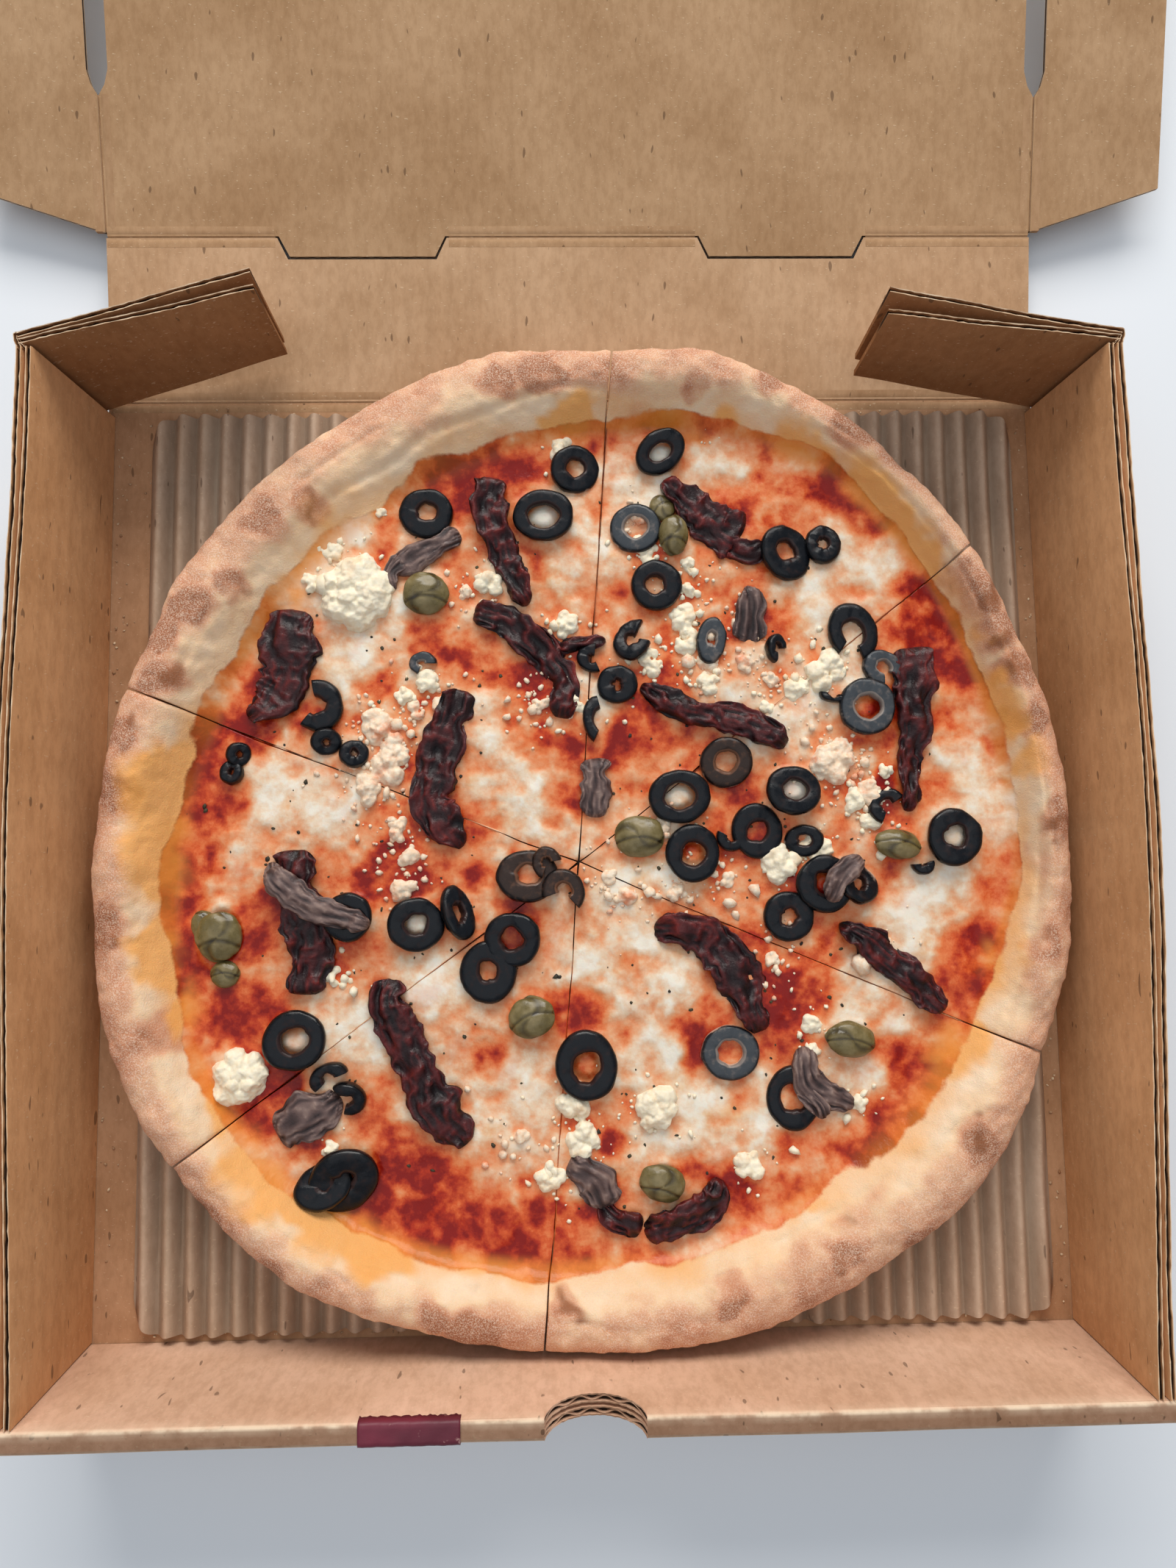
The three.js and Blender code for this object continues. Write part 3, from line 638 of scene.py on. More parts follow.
SEAL_FROM, SEAL_TO = -63.3, -35.6
SEAL_THICK = 0.22
seal_path = np.array([
    (-0.3, -3.2), (-0.34, -1.2), (-0.1, -0.2), (0.5, 0.24), (1.4, 0.34), (3, 0.22), (4.6, 0.34),
    (5.6, 0.24), (6.2, -0.2), (6.44, -1.4), (6.46, -4), (6.46, -7.2)])
run = np.gradient(seal_path, axis=0)
outward = np.stack([-run[:, 1], run[:, 0]], axis=1) / np.linalg.norm(run, axis=1, keepdims=True)
both_skins = np.concatenate([seal_path, (seal_path - SEAL_THICK * outward)[::-1]])
width = np.linspace(SEAL_FROM, SEAL_TO, 40)
rows = []
for near, down in both_skins:
    torn = (0.35 * np.sin(width * 1.9) + 0.25 * np.sin(width * 4.3)) * (down < -3)
    pucker = (0.08 * np.sin(width * 0.9 + near) + 0.05 * np.sin(width * 2.3)) * (down > -1)
    rows.append(on_front(width, near, WALL_TOP + down + torn + pucker))
sections = np.stack(rows, axis=1)
seal_paper, tree, shader = new_material("seal_paper")
coords = own_coords(tree)
worn = spread(tree, speckle(tree, coords, 260, 4, 0.7), 0.62, 0.72, 0, 0.7)
rubbed = spread(tree, speckle(tree, coords, 45, 3), 0.35, 0.7)
color = blend(tree, rubbed, srgb(92, 20, 38), srgb(120, 32, 52))
dress(tree, shader, Base_Color=blend(tree, worn, color, srgb(196, 150, 140)), Roughness=0.5)
bump(tree, shader, speckle(tree, coords, 700, 3), 0.3, 0.0002)
seal = shown("paper_seal", *swept(sections, np.zeros(sections.shape[1]))[:2], seal_paper)
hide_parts("sticker")

# ---- Corner flaps -----------------------------------------------------------------------
# The ends of the side walls turn in behind the pizza. The two leaves of each flap part towards
# the free end, and the corners are creased and a little crumpled.

FLAP_TURN_X, FLAP_TURN_Y = 161, 150
FLAP_LENGTH = 68
# The flaps' board is painted darker than the rest: painted shade on faces that look away from the light.
FLAP_SHADED_PAPER = srgb(168, 120, 80)


def swung(points, side, yaw):
    """Points from a flap's own axes to the box's: the flap swings in by `yaw` degrees."""
    return turned(np.array(points, float), (0, 0, -side * yaw))


for side, yaw, depths, name in ((-1, 13.5, (3.9, 6.4), "left"), (1, 6.5, (3.9, 8), "right")):
    t = np.linspace(0, 1, 46)
    fade = np.clip(1 - 2 * t, 0, 1)
    deep = depths[0] + (depths[1] - depths[0]) * t**1.4
    turn_spot = (side * FLAP_TURN_X, FLAP_TURN_Y, 0)
    thick_way = swung([[0, 1, 0]], side, yaw)[0]
    leaves = []
    for which in (0, 1):
        away = which * (deep - THICK) + 0.25 * np.sin(t * 9 + which * 2) * t
        low = 1.8 + 1.3 + 9 * t
        high = WALL_TOP + (0.5 * np.sin(t * 3.1) if which else 0.2 * np.sin(t * 7))
        foot = xyz(FLAP_LENGTH * t + 3 * fade, away, low)
        top = xyz(FLAP_LENGTH * t - 2.3 * fade, away + which * 1.2 * t**2, high)
        foot, top = (swung(line * (-side, 1, 1), side, yaw) + turn_spot for line in (foot, top))
        leaves.append(board_leaf(foot, top, thick_way, rng, 2.2))
    points, faces, core = joined(leaves)
    flap_board = board_material(
        f"{name}_flap_board", FLAP_SHADED_PAPER, (0, 150, 0), (90, 0, -side * yaw), 0.7, "leaf")
    flap = shown(f"{name}_flap_leaves", points, faces, flap_board, f"{name}_corner_flap", core=core)
    crisp(flap)
    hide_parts(f"{name}_flap")

    # The bend between the wall's end and the flap is one rounded corner of crushed board.
    wall_x = HALF_WIDTH + float(flare(np.array(WALL_BACK)))
    bend = np.linspace(0, 1, 12)[:, None]
    bends = []
    for which in (0, 1):
        low_from = np.array([side * (HALF_WIDTH + which * 2.6), WALL_BACK - 0.6, WALL_FOOT])
        high_from = np.array([side * (wall_x + which * 2.6), WALL_BACK - 0.6, WALL_TOP - 0.1])
        out_by = which * (depths[0] - THICK)
        flap_end = [(-side * 3.6, out_by, 3.1), (side * 1.9, out_by, WALL_TOP - 0.1)]
        low_to, high_to = swung(flap_end, side, yaw) + turn_spot
        bulge = np.array([side * 1.0, 1.4, 0]) * which * np.sin(bend * math.pi)
        low = low_from * (1 - bend) + low_to * bend + bulge
        high = high_from * (1 - bend) + high_to * bend + bulge
        way = np.array([side, 0, 0]) * (1 - bend) + thick_way * bend
        way /= np.linalg.norm(way, axis=1, keepdims=True)
        bends.append(board_leaf(low, high, way, rng, 1.4))
    points, faces, core = joined(bends)
    # The crushed bend's sunk core takes half the painted shade.
    corner = shown(f"{name}_corner_bend", points, faces, flap_board, None, core=core * 0.5)
    crisp(corner)
    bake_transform(corner)

# ---- Creases ----------------------------------------------------------------------------
# The panels are one sheet of board: at each fold the paper runs on, pressed into a soft groove.
# The tabs are cut free on three sides, so the fold there stops short of them.


CREASE_REACH = 3.4


def crease(name, ends, before, after, paper, turn, groove=0.45, swell=0.5):
    """A bent strip over the fold between two panels, in mm. `before` and `after` are unit steps
    from the fold into each panel, and the strip is thick enough to show on both faces."""
    start, end = np.array(ends, float)
    before, after = np.array(before, float), np.array(after, float)
    count = max(6, int(np.linalg.norm(end - start) / 4))
    line = start + (end - start) * np.linspace(0, 1, count)[:, None]
    along = (end - start) / np.linalg.norm(end - start)
    up_before, up_after = np.cross(along, -before), np.cross(along, after)
    up_before, up_after = (
        up * np.sign(up[2] + 0.5 * abs(up[1]) * (up[2] == 0)) for up in (up_before, up_after))
    middle = (up_before + up_after) / np.linalg.norm(up_before + up_after)
    waver = rng.uniform(-0.06, 0.06, (count, 1))
    outline = [(before, up_before, CREASE_REACH, 0.03), (before, up_before, 2.2, 0.09),
               (before, up_before, 0.9, 0), (middle, middle, 0, -groove), (after, up_after, 0.9, 0),
               (after, up_after, 2.2, 0.09), (after, up_after, CREASE_REACH, 0.03),
               (after, up_after, CREASE_REACH, -THICK - 0.03),
               (after, up_after, 1.4, -THICK - 0.4 * swell), (middle, middle, 0, -THICK - swell),
               (before, up_before, 1.4, -THICK - 0.4 * swell),
               (before, up_before, CREASE_REACH, -THICK - 0.03)]
    sections = np.stack([line + way * far + up * rise for way, up, far, rise in outline], axis=1)
    sections[:, 3] += waver * middle
    crease_board = board_material(f"{name}_board", paper, tuple(start * MM), turn, 0.4, "plain")
    strip = shown(name, *swept(sections, np.zeros(12))[:2], crease_board, None)
    crisp(strip, 60)
    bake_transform(strip)


def pitched(degrees):
    """A unit step backwards, tilted up."""
    return np.array([0, math.cos(math.radians(degrees)), math.sin(math.radians(degrees))])


back_spot = np.array(back_fold) / MM
lid_spot = np.array(lid_fold) / MM
front_spot = np.array(front_fold) / MM
SHEET_HALF = 156.2
# The back wall and ear creases are painted a little darker than the board either side: painted shade in the
# groove.
BACK_CREASE_SHADED, LID_CREASE, EAR_CREASE_SHADED = srgb(186, 148, 112), srgb(190, 152, 115), srgb(184, 146, 110)
crease("back_wall_crease", [back_spot - (SHEET_HALF, 0, 0), back_spot + (SHEET_HALF, 0, 0)],
       (0, -1, 0), pitched(8), BACK_CREASE_SHADED, (4, 0, 0), 0.3, 0)
for number, (left, right) in enumerate(((-SHEET_HALF, -100.2), (-41.8, 41.8), (100.2, SHEET_HALF))):
    crease(f"lid_crease_{number + 1}", [lid_spot + (left, 0, 0), lid_spot + (right, 0, 0)],
           -pitched(8), pitched(12), LID_CREASE, (10, 0, 0), 0.5)
crease("lid_front_crease", [front_spot - (149.5, 0, 0), front_spot + (149.5, 0, 0)],
       -pitched(12), pitched(82), LID_PAPER, (40, 0, 0), 0.3)
for side, name in ((-1, "left"), (1, "right")):
    for where, (near, far) in enumerate(((1.8, 45), (281, 324.2))):
        spots = [lid_spot + (side * 156.5, 0, 0) + pitched(12) * reach for reach in (near, far)]
        crease(f"{name}_ear_crease_{where + 1}", spots, (-side, 0, 0), (side, 0, 0),
               EAR_CREASE_SHADED, (12, 0, 0), 0.6)

# ---- Fluted liner -----------------------------------------------------------------------
# A loose sheet of single-faced board under the pizza, flutes up and running front to back. Its
# corners are rounded off, its front edge is ragged, and the pizza has pressed some flutes down.

LEFT, RIGHT, FRONT, BACK = -142, 149, -149, 148
ROUND = 11
FLUTES, FLUTE_STEPS = 40, 13
FLUTE_HEIGHT = 4.7
PAPER_THICK = 0.7
LINER_FOOT = 2.1
x_line = np.linspace(LEFT, RIGHT, FLUTES * FLUTE_STEPS + 1)
columns, rows = len(x_line), 44
inset = np.clip(ROUND - np.minimum(x_line - LEFT, RIGHT - x_line), 0, None)
rounded = ROUND - np.sqrt(np.maximum(ROUND**2 - inset**2, 0))
ragged = 0.5 * cloud(xyz(x_line, 0, 0), 5, 151, 3)
front_line = FRONT + rounded + 0.6 + 1.1 * ragged
back_line = BACK - rounded - 0.2 * ragged
share = np.linspace(0, 1, rows)[:, None]
y_grid = front_line * (1 - share) + back_line * share
x_grid = np.tile(x_line, (rows, 1))
flat = xyz(x_grid, y_grid, 0).reshape(-1, 3)
drift = 0.35 * cloud(flat * (0.3, 1, 1), 40, 152, 2).reshape(x_grid.shape)
phase = (x_grid + drift - LEFT) * 2 * math.pi / ((RIGHT - LEFT) / FLUTES)
crest = (0.5 - 0.5 * np.cos(phase)) ** 0.8
crushed = 1 - 0.14 * smooth(cloud(flat, 26, 153, 2), 0.1, 0.9).reshape(x_grid.shape)
z_top = LINER_FOOT + PAPER_THICK + (FLUTE_HEIGHT - PAPER_THICK) * crest * crushed
top_side = xyz(x_grid, y_grid, z_top).reshape(-1, 3)
bottom_side = xyz(x_grid, y_grid, LINER_FOOT).reshape(-1, 3)
size = len(top_side)

# Top faces are one step wide; underneath, where the sheet is flat, they are a flute wide.
faces = []
for i in range(rows - 1):
    for j in range(columns - 1):
        a, b = i * columns + j, (i + 1) * columns + j
        faces.append((a, a + 1, b + 1, b))
        if j % FLUTE_STEPS == 0:
            corners = [*range(b, b + FLUTE_STEPS + 1), *range(a + FLUTE_STEPS, a - 1, -1)]
            faces.append(tuple(size + corner for corner in corners))
for j in range(columns - 1):
    far = (rows - 1) * columns + j
    faces += [(j, j + 1, size + j + 1, size + j), (far, far + 1, size + far + 1, size + far)]
for i in range(rows - 1):
    for edge in (0, columns - 1):
        a, b = i * columns + edge, (i + 1) * columns + edge
        faces.append((a, b, size + b, size + a))
valley = np.concatenate([1 - crest.ravel(), np.ones(size)])
liner_board, tree, shader = new_material("liner_paper")
coords = own_coords(tree)
paper_out = use_group(tree, kraft, Vector=coords, Paper=srgb(200, 173, 149), Flutes=0.0)
# Painted shade: the flute valleys are darkened.
low = painted(tree, "valley")
color = blend(tree, times(tree, low, 0.55), paper_out["Color"], srgb(108, 88, 70))
streaks = spread(tree, speckle(tree, scaled(tree, coords, (1, 0.08, 1)), 120, 3), 0.45, 0.75, 0, 0.35)
color = blend(tree, streaks, color, srgb(190, 172, 150))
# Painted shade: the cut faces at the front and back are painted dark for the hollow flutes behind them.
edge = spread(tree, maths(tree, "ABSOLUTE", axis_of(tree, own_normal(tree), 1)), 0.7, 0.9)
color = blend(tree, edge, color, srgb(74, 56, 42))
dress(tree, shader, Base_Color=color, Roughness=paper_out["Roughness"], Specular_IOR_Level=0.3)
bump(tree, shader, paper_out["Height"], 0.3, 0.0003)
points = np.concatenate([top_side, bottom_side])
liner = shown("fluted_liner", points, faces, liner_board, valley=valley)
crisp(liner, 50)
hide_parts("liner")

# ---- Pizza slices -----------------------------------------------------------------------
# Thin leavened dough with a raised, floury rim, cut with a wheel into six while the cheese was
# soft. Tomato sauce and melted cheese are baked on. Each slice is one closed body, in mm here.

PIE_X, PIE_Y = 0.5, 5.5
HUB = (-1, -3.5)
CUTS = [math.radians(a) for a in (38, 85.5, 158.2, 216, 265.3, 336.8)]
CHEESE_TOP = 15
RIM_TOP = 26
PIE_FOOT = 7.1
MID_RADIUS = 150


def waves(angle, mean, crests):
    """A mean with waves on it, each (height, waves in a full turn, crest in degrees)."""
    return mean + sum(high * np.cos(count * angle - math.radians(at)) for high, count, at in crests)


def outer_radius(angle):
    free = waves(angle, 155.6, [(1.9, 1, -41), (3.1, 2, 151), (3.4, 3, -108), (1.6, 4, -166)])
    rise = np.sin(angle)
    return np.where(rise > 0.5, np.minimum(free, (161.2 - PIE_Y) / np.maximum(rise, 0.5)), free)


def inner_radius(angle):
    free = waves(angle, 134.5, [(6.5, 1, 0), (8.2, 2, 84), (1.4, 4, 162)])
    return np.minimum(free, outer_radius(angle) - 14)


def reach(start, angle, radius):
    """How far a ray from `start` runs until it meets a radius taken about the pizza's centre."""
    length = radius(angle)
    for _ in range(12):
        x = start[0] + np.cos(angle) * length - PIE_X
        y = start[1] + np.sin(angle) * length - PIE_Y
        length = length + radius(np.arctan2(y, x)) - np.hypot(x, y)
    return length


def patches(points, spots, seed, ragged=4.5, edge=1.4):
    """0 to 1: cover by round patches (x, y, radius) whose edges wander by `ragged` mm."""
    x = points[:, 0] + ragged * cloud(points, 10, seed, 3)
    y = points[:, 1] + ragged * cloud(points, 10, seed + 1, 3)
    cover = np.zeros(len(points))
    for spot_x, spot_y, size in spots:
        cover = np.maximum(cover, smooth(-np.hypot(x - spot_x, y - spot_y) / size, -edge, -0.6))
    return cover


CHEESE_POOLS = [
    (-90, 17, 20), (-67, 59, 15), (-76, 67, 10), (90, 93, 12), (77, 82, 10), (13, 114, 11), (2, 103, 13),
    (-4, 88, 8), (130, 30, 11), (114, -13, 10), (106, -26, 11), (11, -31, 14), (26, -42, 12), (19, -16, 8),
    (-21, 22, 12), (-13, 5, 10), (-38, -49, 10), (-45, -39, 9), (-72, -56, 10), (-23, -76, 12),
    (-28, -95, 11), (-11, -97, 8), (21, -65, 10), (30, -84, 12), (52, -84, 11), (82, -73, 8), (95, -37, 8),
    (-90, 87, 13), (-77, 104, 7), (42, 124, 9), (24, 122, 9), (0, 49, 9), (51, 51, 12), (68, 38, 11),
    (81, 51, 9), (-24, 93, 6), (29, -9, 8), (128, 10, 9), (92, -52, 8), (-45, -75, 8), (-35, 39, 9),
    (-28, 34, 9), (86, 70, 9), (10, -45, 9), (-62, 78, 7),
]
SAUCE_POOLS = [
    (-120, 30, 11), (-127, -7, 10), (-130, -21, 10), (-125, -33, 9), (-107, -48, 10), (-98, -67, 10),
    (-100, -79, 9), (-87, -86, 9), (-67, -108, 9), (-45, -114, 9), (-26, -116, 9), (-12, -107, 7),
    (83, -94, 9), (96, -85, 9), (104, -71, 9), (119, -37, 9), (113, 79, 9), (117, 63, 11), (133, 58, 8),
    (84, 117, 8), (94, 110, 8), (-37, 122, 10), (-24, 124, 9), (-104, 46, 10), (-114, 38, 8), (-85, 42, 8),
    (-47, 67, 8), (-65, 50, 5), (-12, 52, 8), (-10, 37, 6), (-60, -5, 9), (-1, -50, 9), (65, -49, 8),
    (20, 36, 9), (-5, 16, 5), (38, -58, 7), (25, -77, 5), (55, 21, 6), (98, 20, 6), (137, 37, 5),
    (50, 111, 7), (-20, -23, 6), (-30, -8, 6), (66, -14, 6), (10, -91, 4), (-31, -61, 5), (44, -101, 6),
    (-52, -94, 8), (-108, -31, 7), (-96, -14, 7), (104, 45, 7), (-112, 14, 6), (-115, 2, 6), (4, -106, 5),
]
OIL_POOLS = [
    (-136, 22, 9), (-134, 8, 8), (-133, -4, 7), (-134, -30, 6), (-121, -46, 6), (-107, -95, 9),
    (-97, -102, 8), (37, 131, 6), (68, 125, 9), (96, 113, 8), (103, 97, 9), (139, 62, 7), (143, 30, 6),
    (138, 46, 6), (122, -34, 7), (112, -60, 6), (91, -66, 5), (56, -96, 6), (24, -113, 6), (-66, -119, 7),
    (-80, -110, 7), (-85, 80, 6), (-17, 75, 6), (-10, -19, 7), (62, -30, 6), (-112, -72, 6), (0, 138, 5),
]
BROWN_SPOTS = [
    (-120, 78, 6), (-128, 70, 5), (-109, 86, 5), (-128, 55, 6), (-141, 19, 6), (-127, -53, 7),
    (-122, -57, 5), (127, 80, 7), (134, 69, 6), (137, 55, 6), (141, 40, 5), (121, 87, 5), (38, 146, 3),
    (-11, 152, 6), (-24, 149, 5), (62, 151, 5), (-35, -142, 7), (-46, -138, 5), (-7, -136, 4),
    (101, -122, 6), (119, -88, 6), (143, -30, 5), (148, 6, 6), (-145, -21, 6), (-117, -108, 6),
    (-97, -127, 6), (-84, 111, 5), (-98, 106, 6), (88, 136, 7), (42, -132, 5), (78, -121, 5), (-141, 38, 5),
]
# The shut back wall leans out by 22 degrees and must clear the crust.
BACK_WALL_LIMIT = 153.4
LEAN_SHUT = math.tan(math.radians(22))
COUNTS = {"inside": 150, "rim": 72, "under": 5}
RAY_GAP = 0.0135 / 2


def soften(path, times):
    """Cuts the corners off each row's line of (distance, height) points."""
    for _ in range(times):
        near = path[:, :-1] * 0.75 + path[:, 1:] * 0.25
        far = path[:, :-1] * 0.25 + path[:, 1:] * 0.75
        between = np.stack([near, far], axis=2).reshape(len(path), -1, 2)
        path = np.concatenate([path[:, :1], between, path[:, -1:]], axis=1)
    return path


def evenly(path, count):
    """The same lines with `count` points, evenly along each."""
    steps = np.linalg.norm(np.diff(path, axis=1), axis=2)
    run = np.concatenate([np.zeros((len(path), 1)), np.cumsum(steps, axis=1)], axis=1)
    result = np.empty((len(path), count, 2))
    for row in range(len(path)):
        at = np.linspace(0, run[row, -1], count)
        result[row, :, 0] = np.interp(at, run[row], path[row, :, 0])
        result[row, :, 1] = np.interp(at, run[row], path[row, :, 1])
    return result


SUNKEN = []
for name in nodes:
    if name.startswith(("olive", "caper", "feta")):
        low, high = (np.array(corner)[:2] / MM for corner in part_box(name))
        SUNKEN.append(((low + high) / 2, (high - low) / 2, name.startswith("olive")))


def cover_at(points):
    """Melted cheese (1) to bare sauce (0) at points in mm, pink where the two have run together."""
    flat = points * (1, 1, 0)
    cheese = patches(flat, CHEESE_POOLS, 21, 5, 1.8)
    sauce = patches(flat, SAUCE_POOLS, 31, 4.5, 1.6)
    mixed = 0.42 + 0.24 * cloud(flat, 7, 41, 3) + 0.12 * cloud(flat, 26, 42, 2)
    cover = mixed + 0.08 * cloud(flat, 3, 43, 2) + cheese * 0.36 - sauce * 0.36
    for number, (middle, half, hollow) in enumerate(SUNKEN):
        share = np.linalg.norm((flat[:, :2] - middle) / half, axis=1)
        cover = cover + hollow * (0.45 if number % 3 else -0.3) * smooth(-share, -0.6, -0.3)
    return np.clip(cover, 0, 1)


def cheese_height(points, cover):
    """Top of the sauce and cheese, in mm."""
    flat = points * (1, 1, 0)
    high = 14.35 + 0.75 * smooth(cover, 0.35, 0.95)
    high = high + 0.5 * cloud(flat, 24, 51, 2) + 0.28 * cloud(flat, 6, 52, 2)
    for middle, half, hollow in SUNKEN:
        share = np.linalg.norm((flat[:, :2] - middle) / half, axis=1)
        far = (share - 1) * half.mean()
        high = high + 0.9 * np.exp(-np.clip(far, 0, 40) / 1.3) - 0.5 * smooth(-far, 0.5, 3)
        high = high + 1.3 * hollow * smooth(-share, -0.5, -0.2)
    return high


def cut_wobble(distance, cut):
    """How far a cut strays to one side, the same for the two slices that share it."""
    return 0.5 * cloud(xyz(distance, 40 * cut, 0), 16, 61, 3)


def slice_points(start, end):
    """Rings of points of one slice: tip to crust over the top, then back underneath."""
    middle = (start + end) / 2
    back = 0.4 / math.sin((end - start) / 2)
    tip = (HUB[0] + back * math.cos(middle), HUB[1] + back * math.sin(middle))
    close = np.array([0, 0.3, 0.8, 1.6, 2.8]) / MID_RADIUS
    count = int((end - start) / RAY_GAP)
    between = np.linspace(start + 4 / MID_RADIUS, end - 4 / MID_RADIUS, count)
    rays = np.concatenate([start + close, between, end - close[::-1]])
    outer = reach(tip, rays, outer_radius)
    inner = reach(tip, rays, inner_radius)
    rim = outer - inner
    crest = waves(rays, RIM_TOP, [(0.9, 5, 60), (0.6, 9, 10)])
    crest = crest + 1.1 * cloud(xyz(np.cos(rays), np.sin(rays), 0) * MID_RADIUS, 17, 71, 2)
    profile = [
        (inner - 5, 0 * rays + CHEESE_TOP - 0.5), (inner, 0 * rays + CHEESE_TOP - 0.2),
        (inner + rim * 0.24, CHEESE_TOP + (crest - CHEESE_TOP) * 0.55),
        (inner + rim * 0.48, crest + 0.6), (outer - rim * 0.2, crest + 0.3), (outer + 0.3, crest - 3.2),
        (outer + 0.4, crest - 6.8), (outer - 2.6, crest * 0 + 14.2), (outer - 7, crest * 0 + 9),
        (outer - 13, crest * 0 + PIE_FOOT),
    ]
    crust = np.stack([np.stack(pair, axis=1) for pair in profile], axis=1)
    crust = evenly(soften(crust, 3), COUNTS["rim"])
    shares = np.linspace(0, 1, COUNTS["inside"])[:-1] ** 0.92
    inside = shares * (inner - 5)[:, None]
    inside = np.stack([inside, 0 * inside + CHEESE_TOP - 0.5], axis=2)
    shares = np.linspace(1, 0, COUNTS["under"] + 1)[1:]
    under = shares * (outer - 13)[:, None]
    under = np.stack([under, 0 * under + PIE_FOOT], axis=2)
    path = np.concatenate([inside, crust, under], axis=1)
    far, high = path[:, :, 0], path[:, :, 1]
    grid = xyz(tip[0] + far * np.cos(rays)[:, None], tip[1] + far * np.sin(rays)[:, None], high)
    return grid, (far - inner[:, None]) / rim[:, None]


def close_faces(rows, columns):
    """Quads over a grid of points whose first and last columns each meet in one point."""
    quads = []
    for i in range(rows - 1):
        low, high = i * columns, (i + 1) * columns
        quads += [(low + j, low + j + 1, high + j + 1, high + j) for j in range(columns - 1)]
    return quads


def ramp(tree, factor, *stops):
    """Blends through colours, each given with its place."""
    node = add_node(tree, "ValToRGB", Fac=factor)
    band = node.color_ramp.elements
    while len(band) < len(stops):
        band.new(0.5)
    for element, (place, _) in zip(band, stops):
        element.position = place
    for element, (_, color) in zip(band, stops):
        element.color = color
    return node.outputs[0]


def swing(tree, noise, much):
    """Noise of 0 to 1 made to swing either way about zero."""
    return times(tree, maths(tree, "SUBTRACT", noise, 0.5), much)


# Melt line: how far a topping's side is coated by the cheese and sauce that it has sunk into.
melt_line, given, out = open_group(
    "melt_line", [("Vector", "Vector", None), ("Height", "Float", 15.6 * MM)], [("Cover", "Float")])
level_z = axis_of(melt_line, given["Vector"], 2)
uneven = times(melt_line, speckle(melt_line, given["Vector"], 260, 2), 3.2 * MM)
over = maths(melt_line, "SUBTRACT", plus(melt_line, given["Height"], uneven), level_z)
melt_line.links.new(spread(melt_line, over, 1.2 * MM, 2.2 * MM), out["Cover"])

# Flour and dough grain: fine pale specks on a warm ground, and the shallow pores between them.
dough_grain, given, out = open_group(
    "dough_grain", [("Vector", "Vector", None)],
    [("Flour", "Float"), ("Mottle", "Float"), ("Height", "Float")])
where = given["Vector"]
fine = speckle(dough_grain, where, 2300, 3, 0.7)
soft = speckle(dough_grain, where, 260, 4, 0.6)
broad = speckle(dough_grain, where, 60, 4, 0.6)
dough_grain.links.new(spread(dough_grain, fine, 0.42, 0.66), out["Flour"])
dough_grain.links.new(broad, out["Mottle"])
dough_grain.links.new(plus(dough_grain, fine, times(dough_grain, soft, 1.6)), out["Height"])

pizza, tree, shader = new_material("baked_pizza")
coords = own_coords(tree)
grain = use_group(tree, dough_grain, Vector=coords)
flattened = scaled(tree, coords, (1, 1, 0.3))
strands = speckle(tree, flattened, 210, 5, 0.62)
threads = speckle(tree, flattened, 620, 3, 0.6)
tint = speckle(tree, flattened, 75, 4, 0.6)
cover = plus(tree, painted(tree, "cover"), swing(tree, strands, 0.6))
cover = plus(tree, cover, swing(tree, threads, 0.3))
topping = ramp(
    tree, cover, (0.0, srgb(132, 18, 8)), (0.12, srgb(172, 46, 18)), (0.27, srgb(208, 90, 42)),
    (0.42, srgb(222, 128, 76)), (0.6, srgb(226, 162, 118)), (0.8, srgb(230, 200, 168)),
    (1.0, srgb(236, 226, 208)))
topping = blend(tree, spread(tree, tint, 0.54, 0.74, 0, 0.55), topping, srgb(250, 196, 120), "MULTIPLY")
topping = blend(tree, spread(tree, tint, 0.46, 0.28, 0, 0.4), topping, srgb(246, 190, 172), "MULTIPLY")
oily = blend(tree, times(tree, painted(tree, "oil"), 0.8), topping, srgb(226, 142, 58))
brown = plus(tree, painted(tree, "brown"), swing(tree, grain["Mottle"], 0.8))
dough = ramp(
    tree, brown, (0.0, srgb(242, 214, 180)), (0.3, srgb(238, 200, 158)), (0.55, srgb(222, 168, 130)),
    (0.8, srgb(202, 138, 102)), (1.0, srgb(166, 104, 70)))
dough = blend(tree, times(tree, grain["Flour"], painted(tree, "flour")), dough, srgb(244, 218, 194))
dough = blend(tree, painted(tree, "char"), dough, srgb(138, 84, 52))
crust = spread(tree, plus(tree, painted(tree, "crust"), swing(tree, strands, 0.7)), 0.3, 0.62)
soaked = spread(tree, plus(tree, painted(tree, "soak"), swing(tree, tint, 0.45)), 0.12, 0.95)
dough = blend(tree, times(tree, soaked, 0.85), dough, srgb(240, 168, 86))
wet = spread(tree, cover, 0.0, 1.0, 0.24, 0.4)
rough = add_node(tree, "Mix", data_type="FLOAT", i0=crust, i2=wet, i3=0.82)
dress(tree, shader, Base_Color=blend(tree, crust, oily, dough), Roughness=rough.outputs[0],
      Specular_IOR_Level=0.22, Subsurface_Weight=0.12, Subsurface_Radius=(0.004, 0.002, 0.001))
lumpy = add_node(tree, "Mix", data_type="FLOAT", i0=crust, i2=times(tree, strands, 1.2), i3=grain["Height"])
bump(tree, shader, lumpy.outputs[0], 0.55, 0.0005)



def across_cut(angle):
    return np.array([-math.sin(angle), math.cos(angle)])


